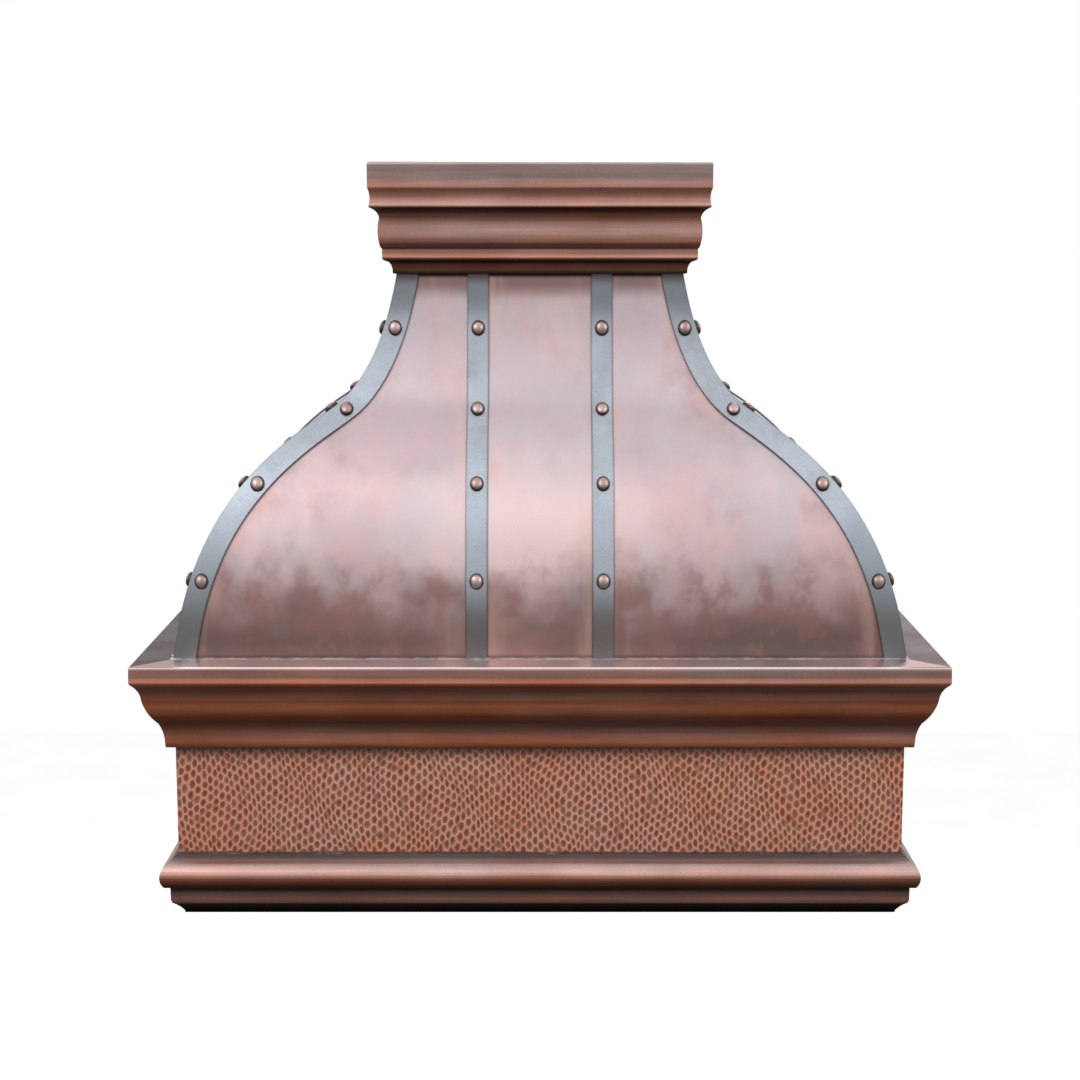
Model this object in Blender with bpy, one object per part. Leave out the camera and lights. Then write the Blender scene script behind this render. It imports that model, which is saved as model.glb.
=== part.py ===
"""Island range hood: a bell-shaped copper canopy with riveted iron straps, hung from a ceiling.

Metres, +Z up. The origin is the centre of the ceiling plane, and every height below is measured
up from the hood's bottom rim, because all objects hang under an empty placed at the rim.
"""
import math

import bmesh
import bpy
from mathutils import Matrix, Vector

# Overall
HEIGHT = 1.050
GAP = 0.0003
COPPER = 0.0012
STEEL = 0.0015

# Canopy: half sizes of the straps' outer face at the neck and at the foot
NECK = (0.2045, 0.1600)
FOOT = (0.5089, 0.3164)
SHELF_Z = 0.3685
BODY_TOP_Z = 0.892
PANEL_TOP_Z = 1.040
STRAP_TOP_Z = 0.905
STRAP = 0.0040
STRAP_WIDTH = 0.0315
FACE_STRAP_X = 0.0880
FACE_STRAP_WIDTH = 0.0295
SHEET = 0.0020
BODY_STEPS = 9

# The bell curve is two Bezier arcs in (half width, height) that meet at the inflection
BELL_MID = (0.2804, 0.7174)
BELL_UPPER_HANDLES = ((0.2148, 0.8350), (0.2339, 0.7622))
BELL_LOWER_HANDLES = ((0.3155, 0.6836), (0.4803, 0.6235))

# Rivets
RIVET_RADIUS = 0.0100
RIVET_RISE = 0.0075
RIVET_SIDES = 8
RIVET_HEIGHTS = (0.8176, 0.7055, 0.6068, 0.4754)

# Apron band
APRON = (0.5087, 0.3182)
APRON_Z = (0.0896, 0.2447)

# Moulding outlines: (projection, height) or (projection, height, bulge of the arc that ends there)
CROWN = (
    (-0.0030, 1.0500),
    (0.0335, 1.0500),
    (0.0370, 1.0460, 0.20),
    (0.0370, 1.0140),
    (0.0354, 0.9900, -0.09),
    (0.0354, 0.9872),
    (0.0311, 0.9850),
    (0.0218, 0.9723, -0.12),
    (0.0206, 0.9315, 0.07),
    (0.0184, 0.9295),
    (0.0186, 0.9180),
    (0.0150, 0.9128, 0.20),
    (0.0095, 0.9105),
    (0.0048, 0.8985, -0.09),
    (0.0044, 0.8945),
    (0.0008, 0.8940),
)
CORNICE = (
    (-0.0200, 0.3685),
    (0.0500, 0.3685),
    (0.0520, 0.3665, 0.20),
    (0.0524, 0.3455),
    (0.0500, 0.3420),
    (0.0385, 0.3190, -0.10),
    (0.0195, 0.2815, 0.065),
    (0.0122, 0.2500, -0.06),
    (0.0118, 0.2462),
    (0.0105, 0.2450),
    (-0.0060, 0.2450),
)
BASE = (
    (-0.0100, 0.0893),
    (0.0010, 0.0893),
    (0.0110, 0.0805),
    (0.0185, 0.0440, 0.245),
    (0.0113, 0.0430),
    (0.0110, 0.0240),
    (0.0096, 0.0195),
    (-0.0055, 0.0030, -0.05),
    (-0.0059, 0.0000),
    (-0.0187, 0.0000),
)
ARC_STEPS = 3

# Steel frame
CEILING_FRAME = (0.1975, 0.1530)
CEILING_LEG = 0.030
FRAME_STEEL = 0.003
CANOPY_FRAME = (0.5060, 0.3155)
CANOPY_FRAME_Z = 0.2050
SCREW_RADIUS = 0.004
SCREW_PLACES = ((0.181, 0.060), (0.080, 0.137))
POST_LEG = 0.025
POST_CORNER = (0.1940, 0.1495)
RAIL_LEG = 0.040
RAIL_STEEL = 0.004
RAIL_HALF_LENGTH = 0.3120

# Liner pan and filters
PAN_RIM = (0.4980, 0.3080)
PAN_Z = 0.0300
FILTER_BAY = (0.4050, 0.1750)
BAY_TOP_Z = 0.0855
BAY_THROAT = (0.195, 0.150)
FILTER_SIZE = (0.268, 0.340, 0.026)
FILTER_PITCH = 0.2695
FILTER_HINGE = (0.170, 0.033)
FILTER_SLOTS = 9
FILTER_SLOT = (0.014, 0.300)
HANDLE_PIVOT = (-0.275, -0.0035)
HANDLE_HALF_WIDTH = 0.040
HANDLE_LENGTH = 0.030
HANDLE_WIRE = 0.0025

# Blower
BLOWER_BOX = (0.200, 0.156)
BLOWER_BOX_Z = (0.0860, 0.4100)
SCROLL_AXIS = (-0.016, 0.245)
SCROLL_HALF_WIDTH = 0.115
SCROLL_RADII = (0.1015, 0.1515)
SCROLL_START = 75.0
SCROLL_TOP_Z = 0.4080
SCROLL_INLET = 0.072
OUTLET_HALF_WIDTH = 0.108
OUTLET_Y = (0.0140, 0.1320)
IMPELLER_SECTORS = 32
IMPELLER_RADII = (0.0043, 0.014, 0.066, 0.092)
IMPELLER_HALF_WIDTH = 0.105
MOTOR_RADIUS = 0.040
MOTOR_FACE_X = 0.0125
MOTOR_SHAFT = 0.0040

# Duct and damper
DUCT_RADIUS = 0.1000
DUCT_SHEET = 0.0015
TRANSITION_Z = (0.4103, 0.5200)
COLLAR_Z = (0.5203, 0.6000)
DAMPER_Z = 0.5600
FLAP_RADIUS = 0.0950
FLAP_SHEET = 0.0010
DUCT_FLANGE = 0.1160
DUCT_SIDES = 24

# Controls and lamps
CONTROL_Y = -0.240
KNOB_X = 0.060
KNOB_Z = (0.0062, 0.0262)
KNOB_RADII = (0.0170, 0.0150)
SHAFT_RADIUS = 0.0030
LAMP_PLACES = {
    "front_left": (-0.30, -0.24),
    "front_right": (0.30, -0.24),
    "rear_left": (-0.30, 0.24),
    "rear_right": (0.30, 0.24),
}
LAMP_CUP = 0.0310
LAMP_TRIM = 0.0380

CORNERS = {
    "front_left": (-1, -1),
    "front_right": (1, -1),
    "rear_left": (-1, 1),
    "rear_right": (1, 1),
}

# Materials: colour, roughness, metallic
FINISHES = {
    "aged_copper": ((0.44, 0.24, 0.19), 0.38, 1.0),
    "patina_copper": ((0.60, 0.42, 0.40), 0.36, 1.0),
    "hammered_copper": ((0.36, 0.16, 0.10), 0.40, 1.0),
    "grey_iron": ((0.36, 0.37, 0.40), 0.42, 1.0),
    "frame_steel": ((0.20, 0.20, 0.21), 0.50, 0.8),
    "brushed_steel": ((0.62, 0.62, 0.63), 0.30, 1.0),
    "galvanised": ((0.50, 0.52, 0.54), 0.45, 0.9),
    "black_plastic": ((0.03, 0.03, 0.03), 0.45, 0.0),
    "lamp_glass": ((0.90, 0.90, 0.88), 0.20, 0.0),
}


def finish_of(name):
    """The named material, made the first time it is asked for."""
    found = bpy.data.materials.get(name)
    if found:
        return found
    colour, roughness, metallic = FINISHES[name]
    made = bpy.data.materials.new(name)
    made.use_nodes = True
    shader = made.node_tree.nodes["Principled BSDF"]
    shader.inputs["Base Color"].default_value = (*colour, 1.0)
    shader.inputs["Roughness"].default_value = roughness
    shader.inputs["Metallic"].default_value = metallic
    return made


def add(name, shape, finish, place=(0, 0, 0), parent=None, round_shape=False):
    """Turns a bmesh into a named object under the rim's empty."""
    bmesh.ops.recalc_face_normals(shape, faces=shape.faces)
    mesh = bpy.data.meshes.new(name)
    shape.to_mesh(mesh)
    shape.free()
    if finish:
        mesh.materials.append(finish_of(finish))
    if round_shape:
        mesh.shade_smooth()
        mesh.set_sharp_from_angle(angle=math.radians(40))
    made = bpy.data.objects.new(name, mesh)
    bpy.context.scene.collection.objects.link(made)
    made.parent = parent or RIM
    made.location = place
    return made


def loft(loops, closed=False):
    """Joins loops of equally many points with quads: a ring if closed, else with an end cap each."""
    shape = bmesh.new()
    rows = [[shape.verts.new(point) for point in loop] for loop in loops]
    count = len(rows[0])
    pairs = list(zip(rows, rows[1:]))
    if closed:
        pairs.append((rows[-1], rows[0]))
    for first, second in pairs:
        for i in range(count):
            j = (i + 1) % count
            shape.faces.new((first[i], first[j], second[j], second[i]))
    if not closed:
        shape.faces.new(rows[0])
        shape.faces.new(rows[-1])
    return shape


def rectangle(half_x, half_y, z, middle=(0, 0)):
    """The four corners of a level rectangle."""
    x, y = middle
    return [
        (x + half_x, y - half_y, z),
        (x + half_x, y + half_y, z),
        (x - half_x, y + half_y, z),
        (x - half_x, y - half_y, z),
    ]


def block(low, high):
    """A box between two corners."""
    middle = ((low[0] + high[0]) / 2, (low[1] + high[1]) / 2)
    half = ((high[0] - low[0]) / 2, (high[1] - low[1]) / 2)
    return loft([rectangle(*half, low[2], middle), rectangle(*half, high[2], middle)])


def join(shapes):
    """Several bmeshes in one, for a cutter or a group of heads."""
    whole = bmesh.new()
    for shape in shapes:
        mesh = bpy.data.meshes.new("piece")
        bmesh.ops.recalc_face_normals(shape, faces=shape.faces)
        shape.to_mesh(mesh)
        whole.from_mesh(mesh)
        shape.free()
        bpy.data.meshes.remove(mesh)
    return whole


def turned(profile, sides, axis="Z"):
    """A profile of (radius, height) points spun about an axis; a radius of 0 closes it on the axis."""
    turn = {"Z": Matrix.Identity(3), "X": Matrix(((0, 0, 1), (0, 1, 0), (-1, 0, 0)))}[axis]
    shape = bmesh.new()
    rows = []
    for radius, height in profile:
        if radius == 0:
            rows.append([shape.verts.new(turn @ Vector((0, 0, height)))])
            continue
        angles = [2 * math.pi * i / sides for i in range(sides)]
        ring = [Vector((radius * math.cos(a), radius * math.sin(a), height)) for a in angles]
        rows.append([shape.verts.new(turn @ point) for point in ring])
    pairs = list(zip(rows, rows[1:]))
    if profile[0][0] != 0:
        pairs.append((rows[-1], rows[0]))
    for first, second in pairs:
        for i in range(sides):
            j = (i + 1) % sides
            corners = [first[i % len(first)], first[j % len(first)]]
            corners += [second[j % len(second)], second[i % len(second)]]
            shape.faces.new(dict.fromkeys(corners))
    return shape


def extruded(outline, low, high, axis):
    """A flat outline pushed along X, Y or Z between two positions."""
    order = {"X": (2, 0, 1), "Y": (0, 2, 1), "Z": (0, 1, 2)}[axis]
    loops = []
    for along in (low, high):
        points = [(u, v, along) for u, v in outline]
        loops.append([tuple(point[i] for i in order) for point in points])
    return loft(loops)


def boolean(target, tool, operation="DIFFERENCE"):
    """Cuts or joins with a hidden helper object."""
    tool.hide_render = True
    tool.display_type = "WIRE"
    step = target.modifiers.new(operation.title(), "BOOLEAN")
    step.operation = operation
    step.object = tool
    step.solver = "EXACT"


# Outlines


def arc_points(start, end, bulge, steps=ARC_STEPS):
    """Points after start along the circular arc to end, whose sagitta is bulge times the chord."""
    start, end = Vector(start), Vector(end)
    if bulge == 0:
        return [tuple(end)]
    chord = end - start
    outward = Vector((-chord.y, chord.x))
    half_angle = 2 * math.atan(2 * bulge)
    radius = chord.length / 2 / math.sin(half_angle)
    centre = (start + end) / 2 - outward.normalized() * radius * math.cos(half_angle)
    points = []
    for i in range(1, steps + 1):
        turn = -2 * half_angle * i / steps
        arm = start - centre
        arm = Vector((
            arm.x * math.cos(turn) - arm.y * math.sin(turn),
            arm.x * math.sin(turn) + arm.y * math.cos(turn),
        ))
        points.append(tuple(centre + arm))
    return points


def outline_of(moulding):
    """A moulding's full outline, with its arcs drawn."""
    points = [moulding[0]]
    for corner in moulding[1:]:
        bulge = corner[2] if len(corner) == 3 else 0
        points += arc_points(points[-1], corner[:2], bulge)
    return points


def inner_side(outline, thickness):
    """The outline moved inwards by the sheet's thickness, with mitred corners."""
    moved = []
    for i, point in enumerate(outline):
        here = Vector(point)
        sides = []
        if i > 0:
            sides.append((here - Vector(outline[i - 1])).normalized())
        if i < len(outline) - 1:
            sides.append((Vector(outline[i + 1]) - here).normalized())
        inward = [Vector((side.y, -side.x)) for side in sides]
        bisector = sum(inward, Vector((0, 0))).normalized()
        reach = thickness / max(bisector.dot(inward[0]), 0.5)
        moved.append(tuple(here + bisector * reach))
    return moved


def moulding_ring(name, moulding, half, finish):
    """Sheet metal bent to a moulding's outline and mitred round a rectangle."""
    outer = outline_of(moulding)
    section = outer + inner_side(outer, COPPER)[::-1]
    loops = [rectangle(half[0] + p, half[1] + p, z) for p, z in section]
    return add(name, loft(loops, closed=True), finish)


# Canopy


def bezier(start, handles, end, steps):
    """Points along a cubic Bezier arc, without its first."""
    corners = [Vector(p) for p in (start, *handles, end)]
    points = []
    for i in range(1, steps + 1):
        t = i / steps
        weights = ((1 - t) ** 3, 3 * (1 - t) ** 2 * t, 3 * (1 - t) * t**2, t**3)
        points.append(sum((w * c for w, c in zip(weights, corners)), Vector((0, 0))))
    return points


def bell(top_z, foot_z=SHELF_Z + GAP):
    """The body's curve from top to foot as (half width, height, slope); slope is width per height."""
    neck = Vector((NECK[0], BODY_TOP_Z))
    points = [Vector((NECK[0], top_z)), neck]
    points += bezier(neck, BELL_UPPER_HANDLES, BELL_MID, BODY_STEPS)
    points += bezier(BELL_MID, BELL_LOWER_HANDLES, (FOOT[0], foot_z), BODY_STEPS)
    levels = []
    for i, point in enumerate(points):
        before, after = points[max(i - 1, 0)], points[min(i + 1, len(points) - 1)]
        run = after - before
        levels.append((point.x, point.y, -run.x / run.y))
    return levels


DEPTH_SHARE = (FOOT[1] - NECK[1]) / (FOOT[0] - NECK[0])


def depth_at(half_width):
    """The body's half depth where it is this wide."""
    return NECK[1] + (half_width - NECK[0]) * DEPTH_SHARE


def leg_widths(slope):
    """A corner strap's level widths on the front and side faces, for its even width along the corner."""
    front = math.hypot(1, slope * DEPTH_SHARE)
    side = math.hypot(1, slope)
    on_front = STRAP_WIDTH * math.hypot(1, slope / front)
    on_side = STRAP_WIDTH * math.hypot(1, slope * DEPTH_SHARE / side)
    return on_front, on_side


def sheet_section(half):
    """One level of a body sheet as (position across, depth behind its face)."""
    return (-half, 0), (half, 0), (half, SHEET), (-half, SHEET)


def make_panels():
    inset = STRAP + GAP
    levels = bell(PANEL_TOP_Z)
    for name, side in (("front_panel", -1), ("rear_panel", 1)):
        loops = []
        for wide, z, _ in levels:
            half = wide - inset - SHEET - GAP
            y = depth_at(wide) - inset
            loops.append([(x, side * (y - d), z) for x, d in sheet_section(half)])
        add(name, loft(loops), "patina_copper", round_shape=True)
    for name, side in (("left_panel", -1), ("right_panel", 1)):
        loops = []
        for wide, z, _ in levels:
            x = wide - inset
            half = depth_at(wide) - inset
            loops.append([(side * (x - d), y, z) for y, d in sheet_section(half)])
        add(name, loft(loops), "patina_copper", round_shape=True)


def rivet(place, outward):
    """A domed head whose base is sunk a little into its strap."""
    profile = (
        (0, RIVET_RISE),
        (RIVET_RADIUS * 0.75, RIVET_RISE * 0.68),
        (RIVET_RADIUS, 0.0010),
        (RIVET_RADIUS, -0.0010),
        (0, -0.0010),
    )
    shape = turned(profile, RIVET_SIDES)
    facing = Vector((0, 0, 1)).rotation_difference(Vector(outward)).to_matrix().to_4x4()
    bmesh.ops.transform(shape, matrix=Matrix.Translation(place) @ facing, verts=shape.verts)
    return shape


def level_at(height):
    """The bell's half width and slope at a height."""
    levels = bell(STRAP_TOP_Z)
    for upper, lower in zip(levels, levels[1:]):
        if lower[1] <= height <= upper[1]:
            t = (upper[1] - height) / (upper[1] - lower[1])
            slope = (lower[0] - upper[0]) / (upper[1] - lower[1])
            return upper[0] + t * (lower[0] - upper[0]), slope
    raise ValueError(height)


def rivet_on(strap, x_sign, y_sign):
    """Rivets a strap: on both legs of a corner strap, or on a face strap if x_sign is a position."""
    heads = []
    for z in RIVET_HEIGHTS:
        wide, slope = level_at(z)
        deep = depth_at(wide)
        on_front, on_side = leg_widths(slope)
        front_facing = Vector((0, y_sign, slope * DEPTH_SHARE)).normalized()
        if abs(x_sign) < 1:
            heads.append(rivet((x_sign, y_sign * deep, z), front_facing))
            continue
        side_facing = Vector((x_sign, 0, slope)).normalized()
        heads.append(rivet((x_sign * (wide - on_front / 2), y_sign * deep, z), front_facing))
        heads.append(rivet((x_sign * wide, y_sign * (deep - on_side / 2), z), side_facing))
    boolean(strap, add(strap.name + "_heads", join(heads), None), "UNION")


def make_straps():
    for name, (x_sign, y_sign) in CORNERS.items():
        loops = []
        for wide, z, slope in bell(STRAP_TOP_Z):
            deep = depth_at(wide)
            on_front, on_side = leg_widths(slope)
            angle = (
                (wide, deep),
                (wide - on_front, deep),
                (wide - on_front, deep - STRAP),
                (wide - STRAP, deep - STRAP),
                (wide - STRAP, deep - on_side),
                (wide, deep - on_side),
            )
            loops.append([(x_sign * x, y_sign * y, z) for x, y in angle])
        strap = add("corner_strap_" + name, loft(loops), "grey_iron", round_shape=True)
        rivet_on(strap, x_sign, y_sign)
        centre = x_sign * FACE_STRAP_X
        loops = []
        for wide, z, _ in bell(STRAP_TOP_Z):
            deep = depth_at(wide)
            half = FACE_STRAP_WIDTH / 2
            flat = ((-half, 0), (half, 0), (half, STRAP), (-half, STRAP))
            loops.append([(centre + x, y_sign * (deep - d), z) for x, d in flat])
        strap = add("face_strap_" + name, loft(loops), "grey_iron", round_shape=True)
        rivet_on(strap, centre, y_sign)


def make_mouldings():
    moulding_ring("crown_moulding", CROWN, NECK, "aged_copper")
    moulding_ring("cornice_moulding", CORNICE, APRON, "aged_copper")
    moulding_ring("base_moulding", BASE, APRON, "aged_copper")
    low, high = APRON_Z
    outer, inner = APRON, (APRON[0] - SHEET, APRON[1] - SHEET)
    loops = [
        rectangle(*outer, low),
        rectangle(*outer, high),
        rectangle(*inner, high),
        rectangle(*inner, low),
    ]
    add("apron_band", loft(loops, closed=True), "hammered_copper")


# Steel frame


def angle_ring(name, half, section):
    """A steel angle mitred round a rectangle; the section is (inset, height) points."""
    loops = [rectangle(half[0] - d, half[1] - d, z) for d, z in section]
    return add(name, loft(loops, closed=True), "frame_steel")


def angle_outline(x, y, leg, thick):
    """An L with its outer corner at (x, y) and its legs towards the middle."""
    to_x, to_y = -math.copysign(1, x), -math.copysign(1, y)
    return [
        (x, y),
        (x + to_x * leg, y),
        (x + to_x * leg, y + to_y * thick),
        (x + to_x * thick, y + to_y * thick),
        (x + to_x * thick, y + to_y * leg),
        (x, y + to_y * leg),
    ]


def make_frame():
    top, leg, thick = HEIGHT, CEILING_LEG, FRAME_STEEL
    section = (
        (0, top - leg),
        (0, top),
        (leg, top),
        (leg, top - thick),
        (thick, top - thick),
        (thick, top - leg),
    )
    ceiling = angle_ring("ceiling_frame", CEILING_FRAME, section)
    holes = []
    for x, y in SCREW_PLACES:
        for x_sign in (-1, 1):
            for y_sign in (-1, 1):
                place = (x_sign * x, y_sign * y)
                holes.append(rod_along_z(SCREW_RADIUS, top - 0.005, top + 0.002, place))
    boolean(ceiling, add("screw_holes", join(holes), None))

    low = CANOPY_FRAME_Z
    section = (
        (0, low),
        (0, low + leg),
        (thick, low + leg),
        (thick, low + thick),
        (leg, low + thick),
        (leg, low),
    )
    angle_ring("canopy_frame", CANOPY_FRAME, section)

    post_low = BLOWER_BOX_Z[1] + GAP
    post_high = HEIGHT - FRAME_STEEL - GAP
    for name, (x_sign, y_sign) in CORNERS.items():
        x, y = x_sign * POST_CORNER[0], y_sign * POST_CORNER[1]
        outline = angle_outline(x, y, POST_LEG, FRAME_STEEL)
        add("hanger_post_" + name, extruded(outline, post_low, post_high, "Z"), "frame_steel")

    rail_low = CANOPY_FRAME_Z + FRAME_STEEL + GAP
    inner_x = BLOWER_BOX[0] + GAP
    for name, side in (("left", -1), ("right", 1)):
        outline = (
            (side * inner_x, rail_low),
            (side * (inner_x + RAIL_LEG), rail_low),
            (side * (inner_x + RAIL_LEG), rail_low + RAIL_STEEL),
            (side * (inner_x + RAIL_STEEL), rail_low + RAIL_STEEL),
            (side * (inner_x + RAIL_STEEL), rail_low + RAIL_LEG),
            (side * inner_x, rail_low + RAIL_LEG),
        )
        rail = extruded(outline, -RAIL_HALF_LENGTH, RAIL_HALF_LENGTH, "Y")
        add("cross_rail_" + name, rail, "frame_steel")


# Liner, filters and handles


def rod_along_z(radius, low, high, place, sides=12):
    """A plain round bar or hole."""
    shape = turned(((0, high), (radius, high), (radius, low), (0, low)), sides)
    bmesh.ops.translate(shape, vec=(*place, 0), verts=shape.verts)
    return shape


def make_liner():
    """A flat pan, and above its opening the bay that holds the filters: four walls and a roof."""
    bay, throat, t = FILTER_BAY, BAY_THROAT, STEEL
    pan = flat_ring("liner_pan", PAN_RIM, bay, PAN_Z)
    low, high = PAN_Z - 0.004, PAN_Z + 0.006
    cutters = [rod_along_z(LAMP_CUP + 0.0015, low, high, place, 16) for place in LAMP_PLACES.values()]
    cutters += [rod_along_z(SHAFT_RADIUS + 0.001, low, high, (x, CONTROL_Y)) for x in (-KNOB_X, KNOB_X)]
    boolean(pan, add("liner_holes", join(cutters), None))

    outside = (bay[0] + t, bay[1] + t)
    low, high = PAN_Z + t + GAP, BAY_TOP_Z - t - GAP
    loops = [
        rectangle(*outside, low),
        rectangle(*outside, high),
        rectangle(*bay, high),
        rectangle(*bay, low),
    ]
    add("filter_bay_walls", loft(loops, closed=True), "brushed_steel")
    flat_ring("filter_bay_roof", outside, throat, BAY_TOP_Z - t)


def flat_ring(name, outside, inside, z):
    """A level sheet with a rectangular opening, its underside at z."""
    top = z + STEEL
    loops = [
        rectangle(*outside, z),
        rectangle(*outside, top),
        rectangle(*inside, top),
        rectangle(*inside, z),
    ]
    return add(name, loft(loops, closed=True), "brushed_steel")


def make_filters():
    width, length, thick = FILTER_SIZE
    slot_width, slot_length = FILTER_SLOT
    pitch = (width - 0.020) / FILTER_SLOTS
    slots = []
    for i in range(FILTER_SLOTS):
        x = (i - (FILTER_SLOTS - 1) / 2) * pitch
        y = -0.001 - length / 2
        low = (x - slot_width / 2, y - slot_length / 2, -0.01)
        high = (x + slot_width / 2, y + slot_length / 2, thick + 0.01)
        slots.append(block(low, high))
    slot_mesh = join(slots)
    ears = []
    for side in (-1, 1):
        x = side * (HANDLE_HALF_WIDTH + HANDLE_WIRE + 0.0035)
        y, z = HANDLE_PIVOT
        ears.append(block((x - 0.003, y - 0.005, z - 0.0035), (x + 0.003, y + 0.005, 0.003)))
    ear_mesh = join(ears)
    for name, at in (("left", -1), ("centre", 0), ("right", 1)):
        place = (at * FILTER_PITCH, *FILTER_HINGE)
        body = block((-width / 2, -length - 0.001, 0), (width / 2, -0.001, thick))
        baffle = add("baffle_filter_" + name, body, "brushed_steel", place)
        boolean(baffle, add("slots_" + name, slot_mesh.copy(), None, place))
        boolean(baffle, add("ears_" + name, ear_mesh.copy(), None, place), "UNION")
        make_handle(name, baffle)
    slot_mesh.free()
    ear_mesh.free()


def make_handle(name, baffle):
    """A wire bail that folds flat under its filter."""
    half, length = HANDLE_HALF_WIDTH, HANDLE_LENGTH
    corner = 0.008
    points = [Vector((-half, 0, 0))]
    for centre_x, start in ((-half + corner, 180), (half - corner, 270)):
        for i in range(4):
            angle = math.radians(start + 30 * i)
            x = centre_x + corner * math.cos(angle)
            y = -length + corner + corner * math.sin(angle)
            points.append(Vector((x, y, 0)))
    points.append(Vector((half, 0, 0)))
    wire = bpy.data.curves.new("filter_handle_" + name, "CURVE")
    wire.dimensions = "3D"
    wire.bevel_depth = HANDLE_WIRE
    wire.bevel_resolution = 1
    wire.use_fill_caps = True
    line = wire.splines.new("POLY")
    line.points.add(len(points) - 1)
    for knot, point in zip(line.points, points):
        knot.co = (*point, 1)
    wire.materials.append(finish_of("brushed_steel"))
    made = bpy.data.objects.new("filter_handle_" + name, wire)
    bpy.context.scene.collection.objects.link(made)
    made.parent = baffle
    made.location = (0, *HANDLE_PIVOT)


# Blower


def scroll_outline(inset, top):
    """The volute in (y, z) about its axis: outlet walls at +y, spiral growing from the cut-off."""
    small, large = SCROLL_RADII
    tongue = small * math.cos(math.radians(SCROLL_START)) + inset
    points = [(tongue, top), (large - inset, top), (large - inset, 0)]
    steps = 15
    for i in range(1, steps + 1):
        angle = 360 - (360 - SCROLL_START) * i / steps
        radius = small + (large - small) * (angle - SCROLL_START) / (360 - SCROLL_START) - inset
        turn = math.radians(angle)
        points.append((radius * math.cos(turn), radius * math.sin(turn)))
    if inset:
        points.append((tongue, points[-1][1] + 0.002))
    return points


def make_blower():
    box, (low, high), t = BLOWER_BOX, BLOWER_BOX_Z, STEEL
    middle = (0, sum(OUTLET_Y) / 2)
    opening = (OUTLET_HALF_WIDTH, (OUTLET_Y[1] - OUTLET_Y[0]) / 2)
    loops = [
        rectangle(*box, low),
        rectangle(*box, high),
        rectangle(*opening, high, middle),
        rectangle(*opening, high - t, middle),
        rectangle(box[0] - t, box[1] - t, high - t),
        rectangle(box[0] - t, box[1] - t, low),
    ]
    add("blower_box", loft(loops, closed=True), "galvanised")

    axis = (0, *SCROLL_AXIS)
    rise = SCROLL_TOP_Z - SCROLL_AXIS[1]
    half = SCROLL_HALF_WIDTH
    scroll = extruded(scroll_outline(0, rise), -half, half, "X")
    housing = add("blower_housing", scroll, "galvanised", axis)
    hollow = extruded(scroll_outline(t, rise + 0.02), -half + t, half - t, "X")
    boolean(housing, add("scroll_hollow", hollow, None, axis))
    reach = half + 0.01
    inlet = turned(((0, reach), (SCROLL_INLET, reach), (SCROLL_INLET, -reach), (0, -reach)), 24, "X")
    boolean(housing, add("scroll_inlets", inlet, None, axis))

    shaft, radius, face = MOTOR_SHAFT, MOTOR_RADIUS, MOTOR_FACE_X
    profile = (
        (0, -0.018),
        (shaft, -0.018),
        (shaft, face),
        (radius - 0.006, face),
        (radius, face + 0.006),
        (radius, half - 0.006),
        (radius - 0.006, half),
        (0, half),
    )
    add("motor", turned(profile, 20, "X"), "frame_steel", axis, round_shape=True)
    y, z = SCROLL_AXIS
    low, high = (half + GAP, y - 0.100, z - 0.014), (half + GAP + 0.003, y + 0.084, z + 0.014)
    add("motor_bracket", block(low, high), "frame_steel")
    make_impeller(axis)


def make_impeller(axis):
    """A centre disc with its hub and the blades drawn out of it on both sides."""
    sectors, half = IMPELLER_SECTORS, IMPELLER_HALF_WIDTH
    disc = 0.002
    shape = bmesh.new()
    rings = {}
    for side in (-1, 1):
        for row, radius in enumerate(IMPELLER_RADII):
            angles = [2 * math.pi * (i + (0.3 if i % 2 else 0.0)) / sectors for i in range(sectors)]
            circle = [(side * disc, radius * math.cos(a), radius * math.sin(a)) for a in angles]
            rings[side, row] = [shape.verts.new(point) for point in circle]
    drawn = []
    last = len(IMPELLER_RADII) - 1
    for i in range(sectors):
        j = (i + 1) % sectors
        for row in (0, last):
            first, second = rings[-1, row], rings[1, row]
            shape.faces.new((first[i], first[j], second[j], second[i]))
        for side in (-1, 1):
            for row in range(last):
                inner, outer = rings[side, row], rings[side, row + 1]
                face = shape.faces.new((inner[i], inner[j], outer[j], outer[i]))
                if row == 0:
                    drawn.append((face, side, 0.012 if side < 0 else 0.008))
                if row == last - 1 and i % 2:
                    drawn.append((face, side, half - disc))
    for side in (-1, 1):
        hub = [face for face, s, length in drawn if s == side and length < 0.02]
        length = next(n for _, s, n in drawn if s == side and n < 0.02)
        pull(shape, hub, side * length)
    for face, side, length in drawn:
        if length > 0.02:
            pull(shape, [face], side * length)
    add("impeller", shape, "galvanised", axis)


def pull(shape, faces, distance):
    """Draws faces out along X."""
    made = bmesh.ops.extrude_face_region(shape, geom=faces)["geom"]
    bmesh.ops.delete(shape, geom=faces, context="FACES")
    corners = [item for item in made if isinstance(item, bmesh.types.BMVert)]
    bmesh.ops.translate(shape, vec=(distance, 0, 0), verts=corners)


# Duct and damper


def square_loop(half_x, half_y, z, middle, per_side=6):
    """Points round a rectangle, starting at its +x -y corner, evenly spaced on each side."""
    corners = [Vector(p) for p in rectangle(half_x, half_y, z, middle)]
    points = []
    for i, corner in enumerate(corners):
        step = (corners[(i + 1) % 4] - corner) / per_side
        points += [corner + step * k for k in range(per_side)]
    return points


def circle_loop(radius, z, per_side=6):
    """As many points round a circle, matching square_loop's corners."""
    count = 4 * per_side
    angles = [math.radians(-45 + 360 * i / count) for i in range(count)]
    return [(radius * math.cos(a), radius * math.sin(a), z) for a in angles]


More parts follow.
